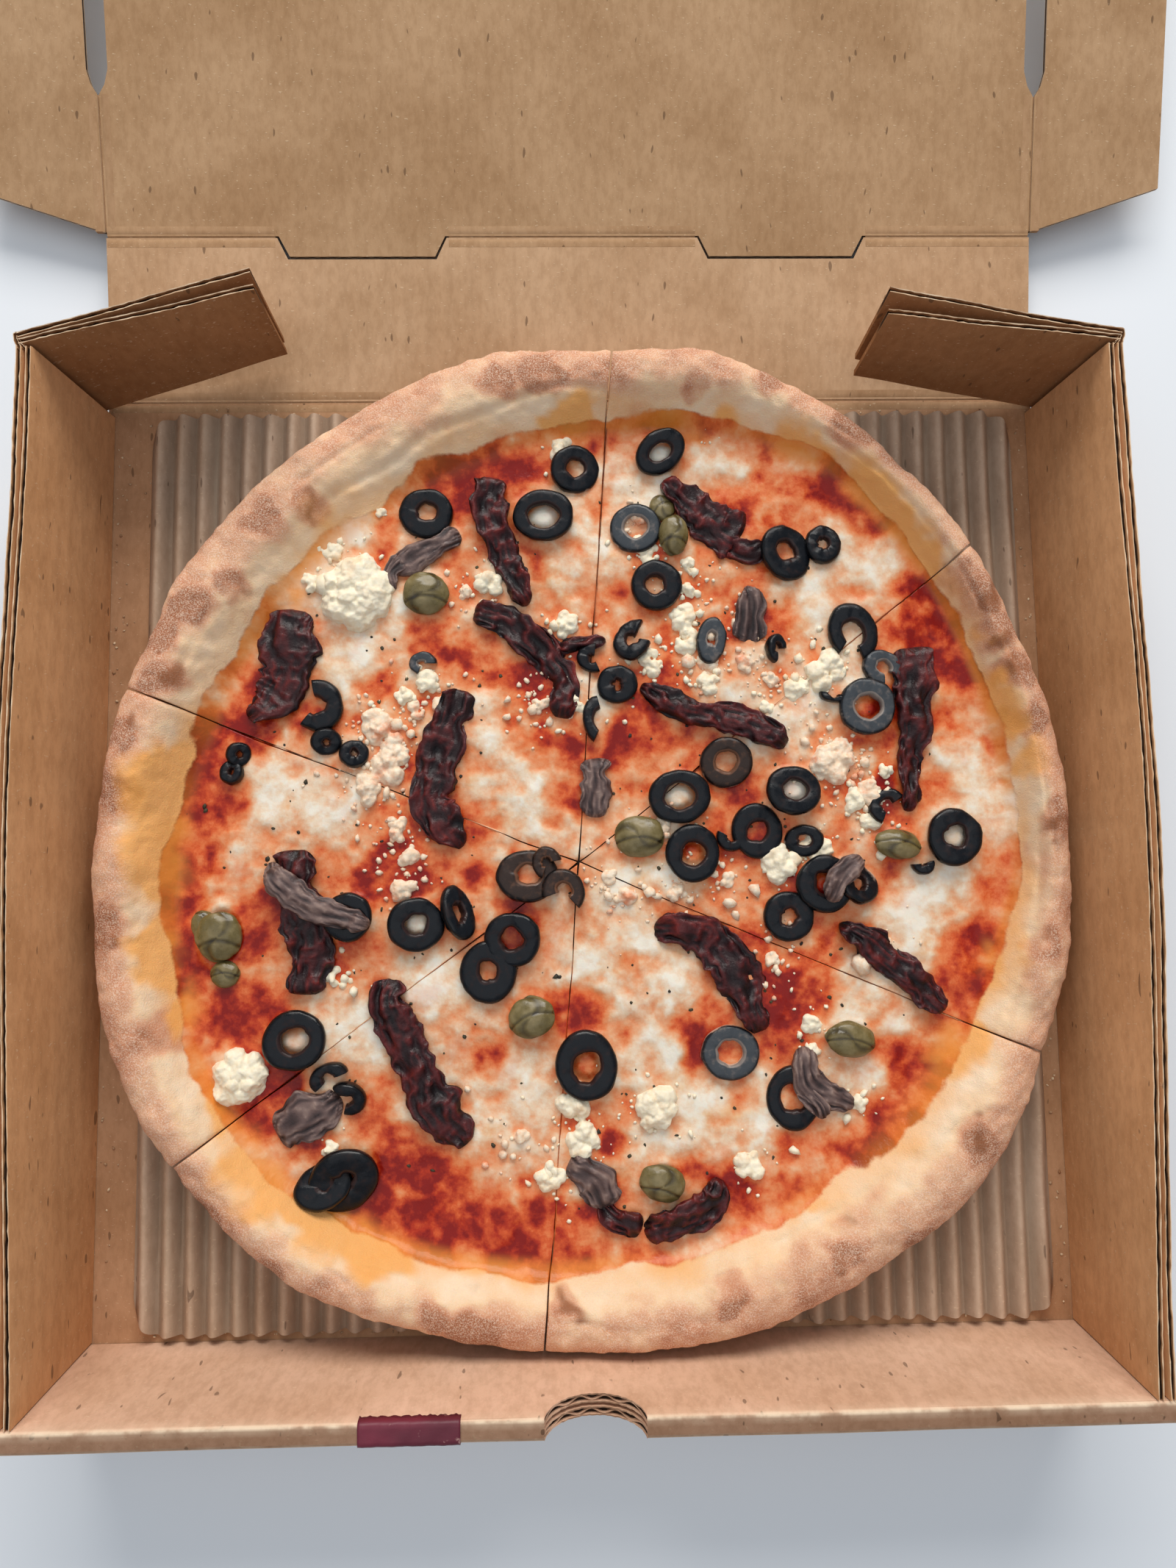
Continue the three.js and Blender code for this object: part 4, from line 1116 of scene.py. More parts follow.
UNDER_CRUST = 26
for number, start in enumerate(CUTS):
    following = (number + 1) % len(CUTS)
    end = CUTS[following] + (0 if following else 2 * math.pi)
    grid, along = slice_points(start, end)
    rows, columns = grid.shape[:2]
    points, along = grid.reshape(-1, 3), along.reshape(-1)
    top_side = np.tile(np.arange(columns) < COUNTS["inside"] + COUNTS["rim"] - UNDER_CRUST, rows)

    # The wheel's cuts wander and stand a little open.
    for cut, angle, side in ((number, start, 1), (following, end, -1)):
        normal = across_cut(angle)
        offset = points[:, :2] - HUB
        run = offset @ (math.cos(angle), math.sin(angle))
        near = np.exp(-np.abs(offset @ normal) / 3)
        gap = 0.24 - 0.12 * smooth(along, 0.0, 0.5)
        shift = cut_wobble(run, cut) - side * gap
        points[:, :2] += (shift * near)[:, None] * normal

    # Sauce and cheese on the flat middle, then folds and blisters in the rim.
    cover = cover_at(points)
    flat_part = 1 - smooth(along, -0.06, 0.12)
    cheese = cheese_height(points, cover) - CHEESE_TOP + 0.5
    points[:, 2] += np.where(top_side, cheese * flat_part, 0)
    crusty = smooth(along + 0.09 * cloud(points, 16, 81, 3), 0.0, 0.2)
    swell = cloud(points, 14, 82, 2)
    outline = cloud(points * (1, 1, 0.3), 30, 80, 2)
    wrinkle = cloud(points * (1, 1, 0.6), 3.4, 83, 3)
    high = smooth(along, 0.02, 0.3)
    wander = 0.16 * cloud(points, 38, 92, 2)
    first = np.exp(-((along - 0.34 - wander) / 0.05) ** 2) * smooth(cloud(points, 30, 93, 2), -0.3, 0.4)
    second = np.exp(-((along - 0.62 + wander) / 0.045) ** 2) * smooth(cloud(points, 26, 94, 2), 0.0, 0.6)
    uneven = high * (0.5 * swell + 0.5 * wrinkle) - 0.9 * first - 0.7 * second
    points[:, 2] += np.where(top_side, uneven, 0)
    outward = points[:, :2] - (PIE_X, PIE_Y)
    outward /= np.linalg.norm(outward, axis=1, keepdims=True) + 1e-6
    points[:, :2] += outward * (smooth(along, 0.5, 1) * (1.0 * outline + 0.22 * wrinkle))[:, None]
    points[:, 1] = np.minimum(points[:, 1], BACK_WALL_LIMIT + (points[:, 2] - THICK) * LEAN_SHUT)
    edge = np.zeros(len(points))
    for angle in (start, end):
        from_cut = np.abs((points[:, :2] - HUB) @ across_cut(angle))
        edge = np.maximum(edge, np.exp(-from_cut / 0.7))
    points[:, 2] -= np.where(top_side, edge * (0.04 + 1.1 * high), 0)

    # Browning, char, oil and flour are painted on the points.
    shoulder = smooth(along + 0.16 * cloud(points, 13, 84, 3), 0.2, 0.75)
    spots = patches(points, BROWN_SPOTS, 85, 3.5)
    brown = 0.16 + 0.52 * shoulder + 0.22 * cloud(points, 8, 86, 3) + 0.5 * spots
    char = patches(points, BROWN_SPOTS, 87, 5) * smooth(cloud(points, 7, 88, 3), 0.15, 0.75) * 0.8
    pooled = patches(points, OIL_POOLS, 91, 4, 1.8)
    ring = smooth(along, -0.2, 0.02) * (0.45 + 0.5 * cloud(points, 24, 89, 2))
    pooled = pooled * smooth(along + 0.1 * cloud(points, 9, 97, 2), -0.35, 0.0)
    oil = np.clip(np.maximum(ring, pooled), 0, 1)
    wide_pools = patches(points, OIL_POOLS, 91, 7, 2.4)
    creep = 0.3 + 0.18 * cloud(points, 14, 95, 3) + 0.3 * wide_pools
    soak = 1 - smooth(along, creep * 0.1, creep * 1.7)
    soak = soak * (0.45 + 0.5 * cloud(points, 30, 96, 2) + 0.8 * wide_pools)
    faces = close_faces(rows, columns)
    from_tip = np.hypot(grid[0, :, 0] - grid[0, 0, 0], grid[0, :, 1] - grid[0, 0, 1])
    fan = tessellate_polygon([[Vector((s, z, 0)) for s, z in zip(from_tip, grid[0, :, 2])]])
    last = (rows - 1) * columns
    faces += [tuple(corner) for corner in fan] + [tuple(last + c for c in corner[::-1]) for corner in fan]
    piece = shown(
        f"pizza_slice_{number + 1}", points, faces, pizza, cover=cover, crust=crusty, brown=brown,
        char=char, oil=oil, soak=np.clip(soak, 0, 1), flour=0.25 + 0.4 * shoulder)
    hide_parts(f"slice_{number + 1}")

# ---- Olive rings ------------------------------------------------------------------------
# Slices of pitted black olive: firm rings with a shiny dark skin and a duller cut face. They
# were scattered on before baking, so cheese and sauce have crept a little up their sides.

AROUND = 60
WALL_POINTS = 22


def pie_tops(spots):
    """Heights of the pizza's top at places (x, y), in mm."""
    points = np.array([(x, y, 0) for x, y in spots], float)
    return cheese_height(points, cover_at(points))


def pie_top(x, y):
    return float(pie_tops([(x, y)])[0])


def olive_ring(x, y, width, length, turn=0, seed=0, hole=0.46, tall=4.6, tilt=(0, 0), span=360,
               sink=1.3):
    """A ring of olive in mm; a `span` under 360 is a broken ring with two cut ends."""
    whole = span == 360
    angle = np.radians(np.linspace(0, span, AROUND + (0 if whole else 1), endpoint=not whole))
    around = np.linspace(0, 2 * math.pi, WALL_POINTS, endpoint=False)
    wave = cloud(xyz(np.cos(angle) * 2, np.sin(angle) * 2, seed), 1.6, 101, 2)
    wall = (1 - 0.88 * hole) / 2 * (1 + 0.14 * wave)
    across = np.sign(np.cos(around)) * np.abs(np.cos(around)) ** 0.8
    upward = np.sign(np.sin(around)) * np.abs(np.sin(around)) ** 0.72
    share = (1 - wall)[:, None] + wall[:, None] * across
    dish = 0.1 * (1 - across**2) * (upward > 0.3)
    bulge = 1 + 0.05 * (1 - upward**2) * (across > 0)
    height = tall * (0.5 + 0.5 * upward - dish) * (1 + 0.07 * wave[:, None])
    radius = share * bulge * (1 + 0.035 * wave[:, None])
    points = xyz(width / 2 * radius * np.cos(angle)[:, None],
                 length / 2 * radius * np.sin(angle)[:, None], height - tall / 2).reshape(-1, 3)
    points = points + 0.12 * cloud(points + 30 * seed, 2.2, 102, 2)[:, None]
    points = turned(points, (*tilt, turn)) + (x, y, pie_top(x, y) + tall / 2 - sink)
    inner = (across < -0.55) * 1.0
    part = np.maximum(smooth(upward, 0.55, 0.95), 2 * inner)
    return points, tube_faces(len(angle), WALL_POINTS, whole), np.tile(part, len(angle))


def sunk_in(tree, coords, color, height, amount, coat):
    """A topping's colour with its foot coated, up to `height` mm, by what it has sunk into."""
    film = use_group(tree, melt_line, Vector=coords, Height=height * MM)["Cover"]
    return blend(tree, times(tree, film, amount), color, coat)


def olive_finish(name, skin, flesh, core, melt):
    """Olive with its skin, cut face and hole wall; `melt` is the height of the melt line in mm."""
    material, tree, shader = new_material(name)
    coords = own_coords(tree)
    part = painted(tree, "part")
    blotch = speckle(tree, coords, 420, 3)
    color = blend(tree, spread(tree, part, 0.2, 0.9), skin, flesh)
    color = blend(tree, spread(tree, part, 1.1, 1.8), color, core)
    color = blend(tree, spread(tree, blotch, 0.5, 0.75, 0, 0.5), color, core)
    color = sunk_in(tree, coords, color, melt, 0.8, srgb(214, 182, 158))
    dress(tree, shader, Base_Color=color, Roughness=spread(tree, blotch, 0.3, 0.7, 0.2, 0.42),
          Specular_IOR_Level=0.22, Coat_Weight=spread(tree, part, 0.6, 0.0, 0.0, 0.3), Coat_Roughness=0.18)
    bump(tree, shader, speckle(tree, coords, 900, 3), 0.25, 0.0003)
    return material


OLIVE_FINISHES = {
    "black": olive_finish("black_olive", srgb(8, 9, 12), srgb(14, 17, 22), srgb(46, 30, 28), 14.6),
    "milky": olive_finish("milky_olive", srgb(24, 26, 30), srgb(62, 66, 70), srgb(130, 118, 110), 15.6),
    "browned": olive_finish("browned_olive", srgb(18, 14, 14), srgb(48, 34, 28), srgb(104, 70, 52), 15.2),
}

KEPT_OLIVES = [
    dict(x=27.5, y=129.5, width=17, length=12.5, turn=35, tilt=(14, -6), hole=0.5),
    dict(x=-10.8, y=108.4, width=19, length=16, hole=0.58),
    dict(x=92.2, y=44.9, width=17.6, length=17.6, hole=0.5),
    dict(x=31.4, y=16.9, width=19, length=16.4, hole=0.58, turn=8),
    dict(x=67.6, y=18.3, width=17.2, length=15.2, hole=0.5, tilt=(-10, 6)),
    dict(x=35.2, y=-1.2, width=16.6, length=17.6, hole=0.48),
    dict(x=118.4, y=2.9, width=16.6, length=17.6, hole=0.44),
    dict(x=-52, y=-22.1, width=17, length=16, hole=0.44, tilt=(4, 8)),
    dict(x=0.6, y=-66.4, width=18.6, length=20.8, hole=0.5),
    dict(x=-89.3, y=-57, width=19, length=17.6, hole=0.5, turn=20),
    dict(x=76.9, y=-11.3, width=17.4, length=17.4, hole=0.45),
    dict(x=-73, y=-19.4, width=14.6, length=14.6, hole=0.4),
]
for number, ring in enumerate(KEPT_OLIVES):
    points, faces, part = olive_ring(seed=number, **ring)
    finish = OLIVE_FINISHES["milky" if number == 2 else "black"]
    piece = shown(f"olive_ring_{number + 1}", points, faces, finish, part=part)
    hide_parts(f"olive_{number + 1}")

MORE_OLIVES = {
    "black": [
        dict(x=-0.4, y=124.7, width=15.5, length=15, hole=0.4, tilt=(8, 10)),
        dict(x=-48.7, y=110.3, width=16.7, length=15.6, hole=0.4, tilt=(5, 0)),
        dict(x=67.8, y=96.3, width=16, length=18, turn=30, hole=0.4, tilt=(6, 12), sink=0.4),
        dict(x=80.3, y=98.9, width=11.5, length=12.5, hole=0.3, tilt=(-6, 4)),
        dict(x=25.3, y=85.7, width=15.7, length=15.7, hole=0.45),
        dict(x=17.4, y=67.7, width=13.5, length=11.5, hole=0.35, span=285, turn=60, tilt=(-18, 8)),
        dict(x=12.2, y=53.2, width=12.4, length=12, hole=0.25),
        dict(x=4.8, y=61.9, width=9, length=10.5, hole=0.3, span=210, turn=80),
        dict(x=7.8, y=41.5, width=17, length=13, hole=0.55, span=130, turn=105, tilt=(0, 12)),
        dict(x=88.8, y=69.4, width=18.5, length=15, hole=0.5, span=300, turn=-70),
        dict(x=56, y=5.7, width=15.6, length=16.7, hole=0.46),
        dict(x=108.4, y=-5.6, width=7, length=6.4, hole=0.2, span=200, turn=180),
        dict(x=65.2, y=-21.5, width=15.3, length=15.3, hole=0.35),
        dict(x=87.4, y=-11.5, width=13.5, length=13, hole=0.35, tilt=(-20, 25), sink=0.6),
        dict(x=-39.1, y=-18.7, width=10.5, length=17, hole=0.35, tilt=(-8, 40), turn=12, sink=0.2),
        dict(x=-22, y=-27.1, width=17, length=16.6, hole=0.45, tilt=(6, -5), sink=-0.8),
        dict(x=-29.6, y=-37, width=17, length=18.5, hole=0.36, sink=0.6),
        dict(x=65, y=-77.5, width=16.7, length=19, hole=0.5, sink=2),
        dict(x=-74.2, y=-99.3, width=22, length=18, hole=0.3, turn=35, tilt=(14, -8), sink=0.4),
        dict(x=-80.2, y=-101, width=17, length=13, hole=0.25, turn=20, tilt=(-16, 6), sink=0.4),
        dict(x=-78.9, y=-68.7, width=11.6, length=9, hole=0.4, span=210, turn=20, tilt=(10, 0)),
        dict(x=-73.5, y=-75, width=10, length=11.6, hole=0.4, span=230, turn=-100, tilt=(0, 20)),
        dict(x=-83.6, y=47.6, width=15.6, length=16.4, hole=0.4, span=230, turn=-130),
        dict(x=-108.1, y=32.3, width=7.5, length=7.5, hole=0.25, tilt=(10, 20)),
        dict(x=-110.1, y=26.4, width=7, length=7.5, hole=0.25, tilt=(-14, 0)),
        dict(x=-80.5, y=35.9, width=9.4, length=8.4, hole=0.25, tilt=(15, 10)),
        dict(x=-71.7, y=31.8, width=9, length=8.6, hole=0.25, tilt=(-10, 16)),
        dict(x=81.6, y=49.1, width=9, length=5, hole=0.4, span=180, turn=170),
        dict(x=63.8, y=64.6, width=6.6, length=9.3, hole=0.3, span=260, tilt=(0, 20)),
        dict(x=71, y=2.5, width=12, length=10, hole=0.35, tilt=(10, -12)),
        dict(x=98, y=13, width=12, length=11, hole=0.4, span=220, turn=30, tilt=(-10, 4)),
        dict(x=47.5, y=3.6, width=9, length=8, hole=0.3, span=200, turn=150),
    ],
    "milky": [
        dict(x=19.1, y=104.7, width=16.2, length=15.5, hole=0.5, tilt=(3, -6)),
        dict(x=97.9, y=57.8, width=12.4, length=11, hole=0.4, span=300, turn=-30),
        dict(x=42.9, y=67.5, width=9.4, length=14.8, hole=0.3, turn=-8),
        dict(x=45.6, y=-63.4, width=17.6, length=16.4, hole=0.5, sink=1.6),
        dict(x=-50, y=60.8, width=8.6, length=7, hole=0.3, span=250, sink=2),
    ],
    "browned": [
        dict(x=46.6, y=27.8, width=16.4, length=15.6, hole=0.45, turn=20, tilt=(8, -8), sink=0.6),
        dict(x=-17, y=-7.4, width=19, length=16, hole=0.42, tilt=(-6, 4)),
        dict(x=-5.8, y=-12.3, width=14, length=12.7, hole=0.35, span=250, turn=-50, sink=0.8),
        dict(x=-11, y=-3.4, width=9, length=10, hole=0.3, span=240, turn=10, sink=0.8),
    ],
}
for kind, rings in MORE_OLIVES.items():
    points, faces, part = joined([olive_ring(seed=20 + i, **ring) for i, ring in enumerate(rings)])
    piece = shown(f"{kind}_olive_rings", points, faces, OLIVE_FINISHES[kind], part=part)

# ---- Sun-dried tomatoes -----------------------------------------------------------------
# Strips of dried tomato, dark and leathery. The flesh has shrunk into deep folds that run
# mostly lengthwise, and the edges curl up; oil leaves them shiny.

STRIP_ROWS = 120
STRIP_AROUND = 44


def flowing(spots, count):
    """Points evenly along a smooth line through `spots` (x, y, width)."""
    spots = np.array(spots, float)
    line = np.concatenate([[2 * spots[0] - spots[1]], spots, [2 * spots[-1] - spots[-2]]])
    t = np.linspace(0, 1, 24, endpoint=False)[:, None]
    pieces = []
    for a, b, c, d in zip(line, line[1:], line[2:], line[3:]):
        square, cube = 2 * a - 5 * b + 4 * c - d, 3 * b - a - 3 * c + d
        pieces.append(0.5 * (2 * b + (c - a) * t + square * t**2 + cube * t**3))
    dense = np.concatenate(pieces + [[line[-2]]])
    steps = np.linalg.norm(np.diff(dense[:, :2], axis=0), axis=1)
    run = np.concatenate([[0], np.cumsum(steps)])
    at = np.linspace(0, run[-1], count)
    return np.stack([np.interp(at, run, dense[:, axis]) for axis in range(3)], axis=1), at


def topping_strip(spots, tall, seed, lift=0, fold=1.0, fold_size=(7, 2.2), ragged=0.2, curl=1.0,
                  sink=1.0):
    """A fleshy strip in mm: folds of height `fold`, each about fold_size long and wide."""

    def for_rows(values):
        return np.repeat(values, STRIP_AROUND, axis=0)

    def for_loops(values):
        return np.tile(values, STRIP_ROWS)

    line, run = flowing(spots, STRIP_ROWS)
    along = np.gradient(line[:, :2], axis=0)
    along /= np.linalg.norm(along, axis=1, keepdims=True)
    side = for_rows(np.stack([-along[:, 1], along[:, 0]], axis=1))
    around = np.linspace(0, 2 * math.pi, STRIP_AROUND, endpoint=False)
    end = np.minimum(run, run[-1] - run)
    blunt = np.sqrt(1 - (1 - np.clip(end / 3.5, 0, 1)) ** 2) * 0.97 + 0.03
    half = for_rows(line[:, 2] / 2 * blunt)
    blunt, run = for_rows(blunt), for_rows(run)
    sideways = for_loops(np.sign(np.cos(around)) * np.abs(np.cos(around)) ** 0.85)
    upward = for_loops(np.sin(around))

    # Torn edges, then the skin's folds: long ridges with broad swells under them.
    edges = xyz(run, np.sign(sideways) * 20, seed * 9)
    out = sideways * half * (1 + ragged * cloud(edges, 6, 121, 3))
    skin = xyz(run / fold_size[0], sideways * half / fold_size[1], upward * 0.8 + seed * 5)
    rough = 1 - 2 * np.abs(cloud(skin, 1, 122, 2)) ** 0.8
    broad = cloud(skin * (0.45, 0.4, 0.5) + 3, 1, 125, 2)
    folds = (fold * rough + 1.4 * fold * broad) * blunt
    thick = tall / 2 * (1 + 0.18 * cloud(xyz(run, 0, seed), 9, 123, 2)) * blunt
    up = thick * (1 + upward)
    up = up + curl * np.abs(sideways) ** 3 * (0.6 + cloud(edges, 9, 124, 2)) * blunt
    up = up + folds * smooth(upward, -0.5, 0.2)
    out = out + 0.45 * folds * sideways
    middle = spots[len(spots) // 2]
    base = pie_top(middle[0], middle[1]) - sink + lift
    flat = for_rows(line[:, :2]) + out[:, None] * side
    points = np.column_stack([flat, base + np.maximum(up, -0.6)])
    return points, tube_faces(STRIP_ROWS, STRIP_AROUND), (rough + 1) / 2


tomato, tree, shader = new_material("sun_dried_tomato")
coords = own_coords(tree)
ridges = painted(tree, "ridge")
blotch = speckle(tree, coords, 130, 4)
# Lighter on the fold crests and darker in the furrows: partly the redder thin flesh, partly painted
# highlight and shade.
skin = ramp(tree, plus(tree, times(tree, ridges, 0.55), times(tree, blotch, 0.5)),
            (0.2, srgb(16, 6, 8)), (0.5, srgb(40, 13, 15)), (0.72, srgb(80, 22, 22)),
            (0.95, srgb(132, 40, 30)))
skin = sunk_in(tree, coords, skin, 13.9, 0.7, srgb(160, 62, 40))
dress(tree, shader, Base_Color=skin, Specular_IOR_Level=0.3,
      Roughness=spread(tree, speckle(tree, coords, 500, 2), 0.3, 0.7, 0.22, 0.5))
bump(tree, shader, speckle(tree, coords, 750, 4, 0.65), 0.6, 0.0005)

TOMATO_STRIPS = [
    [(-26.9, 122, 8), (-28.4, 112.1, 9.3), (-24.8, 101.9, 9.3), (-22.6, 91.2, 9.3), (-16.5, 79.5, 6)],
    [(-34, 77.3, 7), (-23.5, 74.3, 9), (-16, 67.3, 9), (-8.6, 60.3, 8.8), (-4.2, 52.7, 8.8),
     (-5.8, 42.5, 7)],
    [(28, 120.5, 4), (35.7, 113.9, 8), (45, 105.5, 14), (53, 100.7, 18)],
    [(19.7, 53, 5), (32.7, 45.6, 8), (47.4, 42.4, 8.5), (59.3, 37.7, 8), (66.4, 33, 6)],
    [(107.4, 64.7, 11), (108.3, 53.1, 13), (107.4, 40.3, 10), (105.6, 28.5, 8), (105.2, 11, 5)],
    [(-90, 79, 9), (-92.5, 67, 16), (-94, 56, 17), (-99, 48, 11), (-106, 44.5, 4)],
    [(-37.9, 52.6, 9), (-41.2, 39.6, 11), (-46.3, 25.7, 12), (-48, 16, 11), (-44, 8.2, 9),
     (-37.8, 1.6, 6)],
    [(22.3, -25.4, 8), (34.5, -26, 10.5), (43.8, -31.9, 12), (49.5, -42, 12), (55.5, -57.5, 8)],
    [(81.5, -24, 5), (89, -28.9, 8), (98.9, -38, 9), (108.3, -46.1, 8), (113.2, -52, 5)],
    [(-59.6, -38.7, 8), (-60.3, -48.4, 11), (-50, -69.9, 12.5), (-44.3, -81.1, 12), (-36, -89.5, 7)],
    [(-89.4, 2, 10), (-89.2, -8, 10.5), (-86, -23.2, 11), (-86.6, -43.5, 10)],
    [(17.5, -117.3, 7), (29.3, -113.7, 9.5), (38, -108.2, 9.5), (41.5, -101.5, 6)],
]
for number, spots in enumerate(TOMATO_STRIPS):
    wide_spots = [(x, y, width * 1.12) for x, y, width in spots]
    points, faces, ridge = topping_strip(
        wide_spots, 4.0, number, fold=0.85, fold_size=(5.5, 1.7), ragged=0.34, curl=1.3)
    piece = shown(f"tomato_strip_{number + 1}", points, faces, tomato, ridge=ridge)
    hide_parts(f"sun_dried_tomato_{number + 1}")

tears = [
    topping_strip([(-7, 66.2, 6), (1, 66.6, 4.6), (9, 68, 2.4)], 3, 40, fold=0.8, curl=0.4),
    topping_strip([(-5, 62, 6), (-11, 70, 5), (-17, 73, 4)], 3, 41, fold=0.8, curl=0.4),
    topping_strip([(47, 99, 7), (55, 96, 8), (61, 99, 5)], 3.2, 42, fold=1),
    topping_strip([(17, -116, 9), (9, -113, 7), (4, -108, 5)], 3.2, 43, fold=1),
]
points, faces, ridge = joined(tears)
piece = shown("tomato_scraps", points, faces, tomato, ridge=ridge)

# ---- Anchovies --------------------------------------------------------------------------
# Cured anchovy fillets: soft grey-brown flesh in long fibres, with frayed edges. Some lie
# across tomato or olives.

anchovy, tree, shader = new_material("anchovy")
coords = own_coords(tree)
ridges = painted(tree, "ridge")
blotch = speckle(tree, coords, 230, 4)
# Lighter on the fold crests and darker in the furrows: painted highlight and shade.
flesh = ramp(tree, plus(tree, times(tree, ridges, 0.6), times(tree, blotch, 0.45)),
             (0.2, srgb(38, 27, 26)), (0.45, srgb(76, 58, 55)), (0.65, srgb(108, 86, 80)),
             (0.9, srgb(150, 126, 114)))
flesh = sunk_in(tree, coords, flesh, 13.6, 0.6, srgb(176, 120, 100))
dress(tree, shader, Base_Color=flesh, Roughness=spread(tree, blotch, 0.3, 0.7, 0.3, 0.55),
      Specular_IOR_Level=0.3)
bump(tree, shader, speckle(tree, coords, 900, 4, 0.65), 0.5, 0.0004)

FILLETS = [
    ([(-58.8, 90.6, 6), (-52.4, 95.7, 8.4), (-44, 100.2, 8.4), (-38, 104.4, 6)], 0),
    ([(-97.6, -4.8, 7), (-89.5, -12.2, 9), (-79.5, -17.4, 9), (-66, -22, 6)], 4.6),
    ([(3.9, 29.7, 9), (5, 20, 12.4), (5, 10.6, 9)], 0),
    ([(88, -3, 6), (82, -8, 8), (77.5, -17, 5)], 4.6),
    ([(-95.5, -85.2, 10), (-86, -80.2, 13.6), (-75.4, -74.6, 8)], 0),
    ([(-6, -96.6, 8), (2.6, -100.6, 12), (6.4, -109.6, 9)], 0),
    ([(68.3, -61.9, 6), (69.3, -72, 9), (76, -76.6, 9), (83.8, -80.7, 6)], 0),
]
for number, (spots, lift) in enumerate(FILLETS):
    points, faces, ridge = topping_strip(
        spots, 3.6, 60 + number, lift, fold=0.4, fold_size=(7, 0.8), ragged=0.4, curl=0.3)
    piece = shown(f"anchovy_fillet_{number + 1}", points, faces, anchovy, ridge=ridge)
    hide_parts(f"anchovy_{number + 1}")

# Thin flakes of the same fish: the path, thickness, lift, fold height and fold length of each.
FLAKES = [
    ([(55.4, 86, 3), (56.2, 80, 9), (55.9, 72, 10.4), (55.6, 66.5, 7)], 3.2, 0, 0.6, 13),
    ([(-97, -2, 5), (-95.6, -8, 8), (-95, -13, 6)], 3, 3.4, 0.6, 13),
    ([(-60, 84, 4), (-60.6, 90, 6), (-56, 96, 5)], 3, 0, 0.5, 10),
    ([(66, -74, 5), (72, -79, 7), (74, -84, 4)], 2.6, 1.4, 0.5, 10),
]
flakes = []
for number, (spots, tall, lift, fold, fold_length) in enumerate(FLAKES):
    flakes.append(topping_strip(
        spots, tall, 70 + number, lift, fold=fold, fold_size=(fold_length, 1.1), ragged=0.3, curl=0.3))
points, faces, ridge = joined(flakes)
piece = shown("anchovy_flakes", points, faces, anchovy, ridge=ridge)

# ---- Caper berries ----------------------------------------------------------------------
# Pickled caper buds, plump and olive green, their outer petals folded over each other.


def round_ball(fineness):
    """Points and faces of a ball of radius 1."""
    ball = bmesh.new()
    bmesh.ops.create_icosphere(ball, subdivisions=fineness, radius=1)
    points = np.array([corner.co for corner in ball.verts])
    faces = [tuple(corner.index for corner in face.verts) for face in ball.faces]
    ball.free()
    return points, faces


FINE_BALL = round_ball(5)


def caper(x, y, width, length, turn, seed, tall=6.4, sink=1.0):
    """A closed bud in mm: petals meeting in soft grooves, with a slit across the top."""
    points, faces = FINE_BALL
    angle = np.arctan2(points[:, 1], points[:, 0])
    lean = 0.7 * np.sin(seed * 2.1)
    petals = np.minimum(np.abs(np.sin(1.0 * (angle + seed) + 1.3 * points[:, 2] + lean)), 0.45) / 0.45
    off_slit = points[:, 1] + 0.35 * points[:, 0] ** 2 + 0.2 * math.sin(seed)
    slit = np.exp(-((off_slit / 0.07) ** 2)) * (points[:, 2] > 0)
    swell = 1 + 0.05 * cloud(points * 3 + seed * 11, 1.6, 131, 2)
    shape = points * swell[:, None] * (0.95 + 0.05 * petals - 0.07 * slit)[:, None]
    flat = np.sign(shape[:, 2]) * np.abs(shape[:, 2]) ** 1.15
    shape = xyz(shape[:, 0] * width / 2, shape[:, 1] * length / 2, flat * tall / 2)
    shape = turned(shape, (6 * math.sin(seed), 5 * math.cos(seed), turn))
    return shape + (x, y, pie_top(x, y) + tall / 2 - sink), faces, petals - slit


caper_skin, tree, shader = new_material("caper_skin")
coords = own_coords(tree)
petal = painted(tree, "petal")
blotch = speckle(tree, coords, 210, 4)
# Painted shade: the grooves between the petals and the slit across the top are darkened.
green = ramp(tree, plus(tree, times(tree, petal, 0.4), times(tree, blotch, 0.8)),
             (0.2, srgb(46, 36, 18)), (0.5, srgb(80, 68, 36)), (0.75, srgb(106, 92, 52)),
             (1.0, srgb(140, 124, 84)))
green = sunk_in(tree, coords, green, 13.9, 0.6, srgb(190, 140, 100))
dress(tree, shader, Base_Color=green, Roughness=spread(tree, blotch, 0.3, 0.7, 0.22, 0.42),
      Subsurface_Weight=0.08, Subsurface_Radius=(0.002, 0.002, 0.001))
bump(tree, shader, speckle(tree, coords, 800, 3), 0.3, 0.0003)

CAPERS = [
    (-48.8, 83.2, 15, 13.6, 0), (31.2, 101.6, 9.6, 13.4, 0), (18.3, 4.4, 16, 13, 0),
    (-16.3, -51.2, 14.4, 13, 20), (100.6, 0.8, 15, 9.6, -10), (82.8, -59.7, 16, 11, -10),
    (-112.9, -24.8, 14.5, 16, 0), (23.4, -102.2, 14.4, 11.6, -15),
]
for number, berry in enumerate(CAPERS):
    points, faces, petal = caper(*berry, number + 1)
    piece = shown(f"caper_bud_{number + 1}", points, faces, caper_skin, petal=petal)
    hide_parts(f"caper_berry_{number + 1}")
LOOSE_PETALS = [
    (28, 111.5, 8, 9.5, 30, 11, 4), (-111.4, -36.5, 9, 8.4, 0, 12, 4), (-117.6, -22, 8, 11, 20, 13, 5)]
points, faces, petal = joined([caper(*loose) for loose in LOOSE_PETALS])
piece = shown("caper_petals", points, faces, caper_skin, petal=petal)

# ---- Feta -------------------------------------------------------------------------------
# Fresh white cheese crumbled by hand over the pizza: two big lumps, small ones and a scatter
# of crumbs. The grain is short and curdy, so every lump is a heap of small knobs.

KNOB = round_ball(2)
CRUMB = round_ball(1)


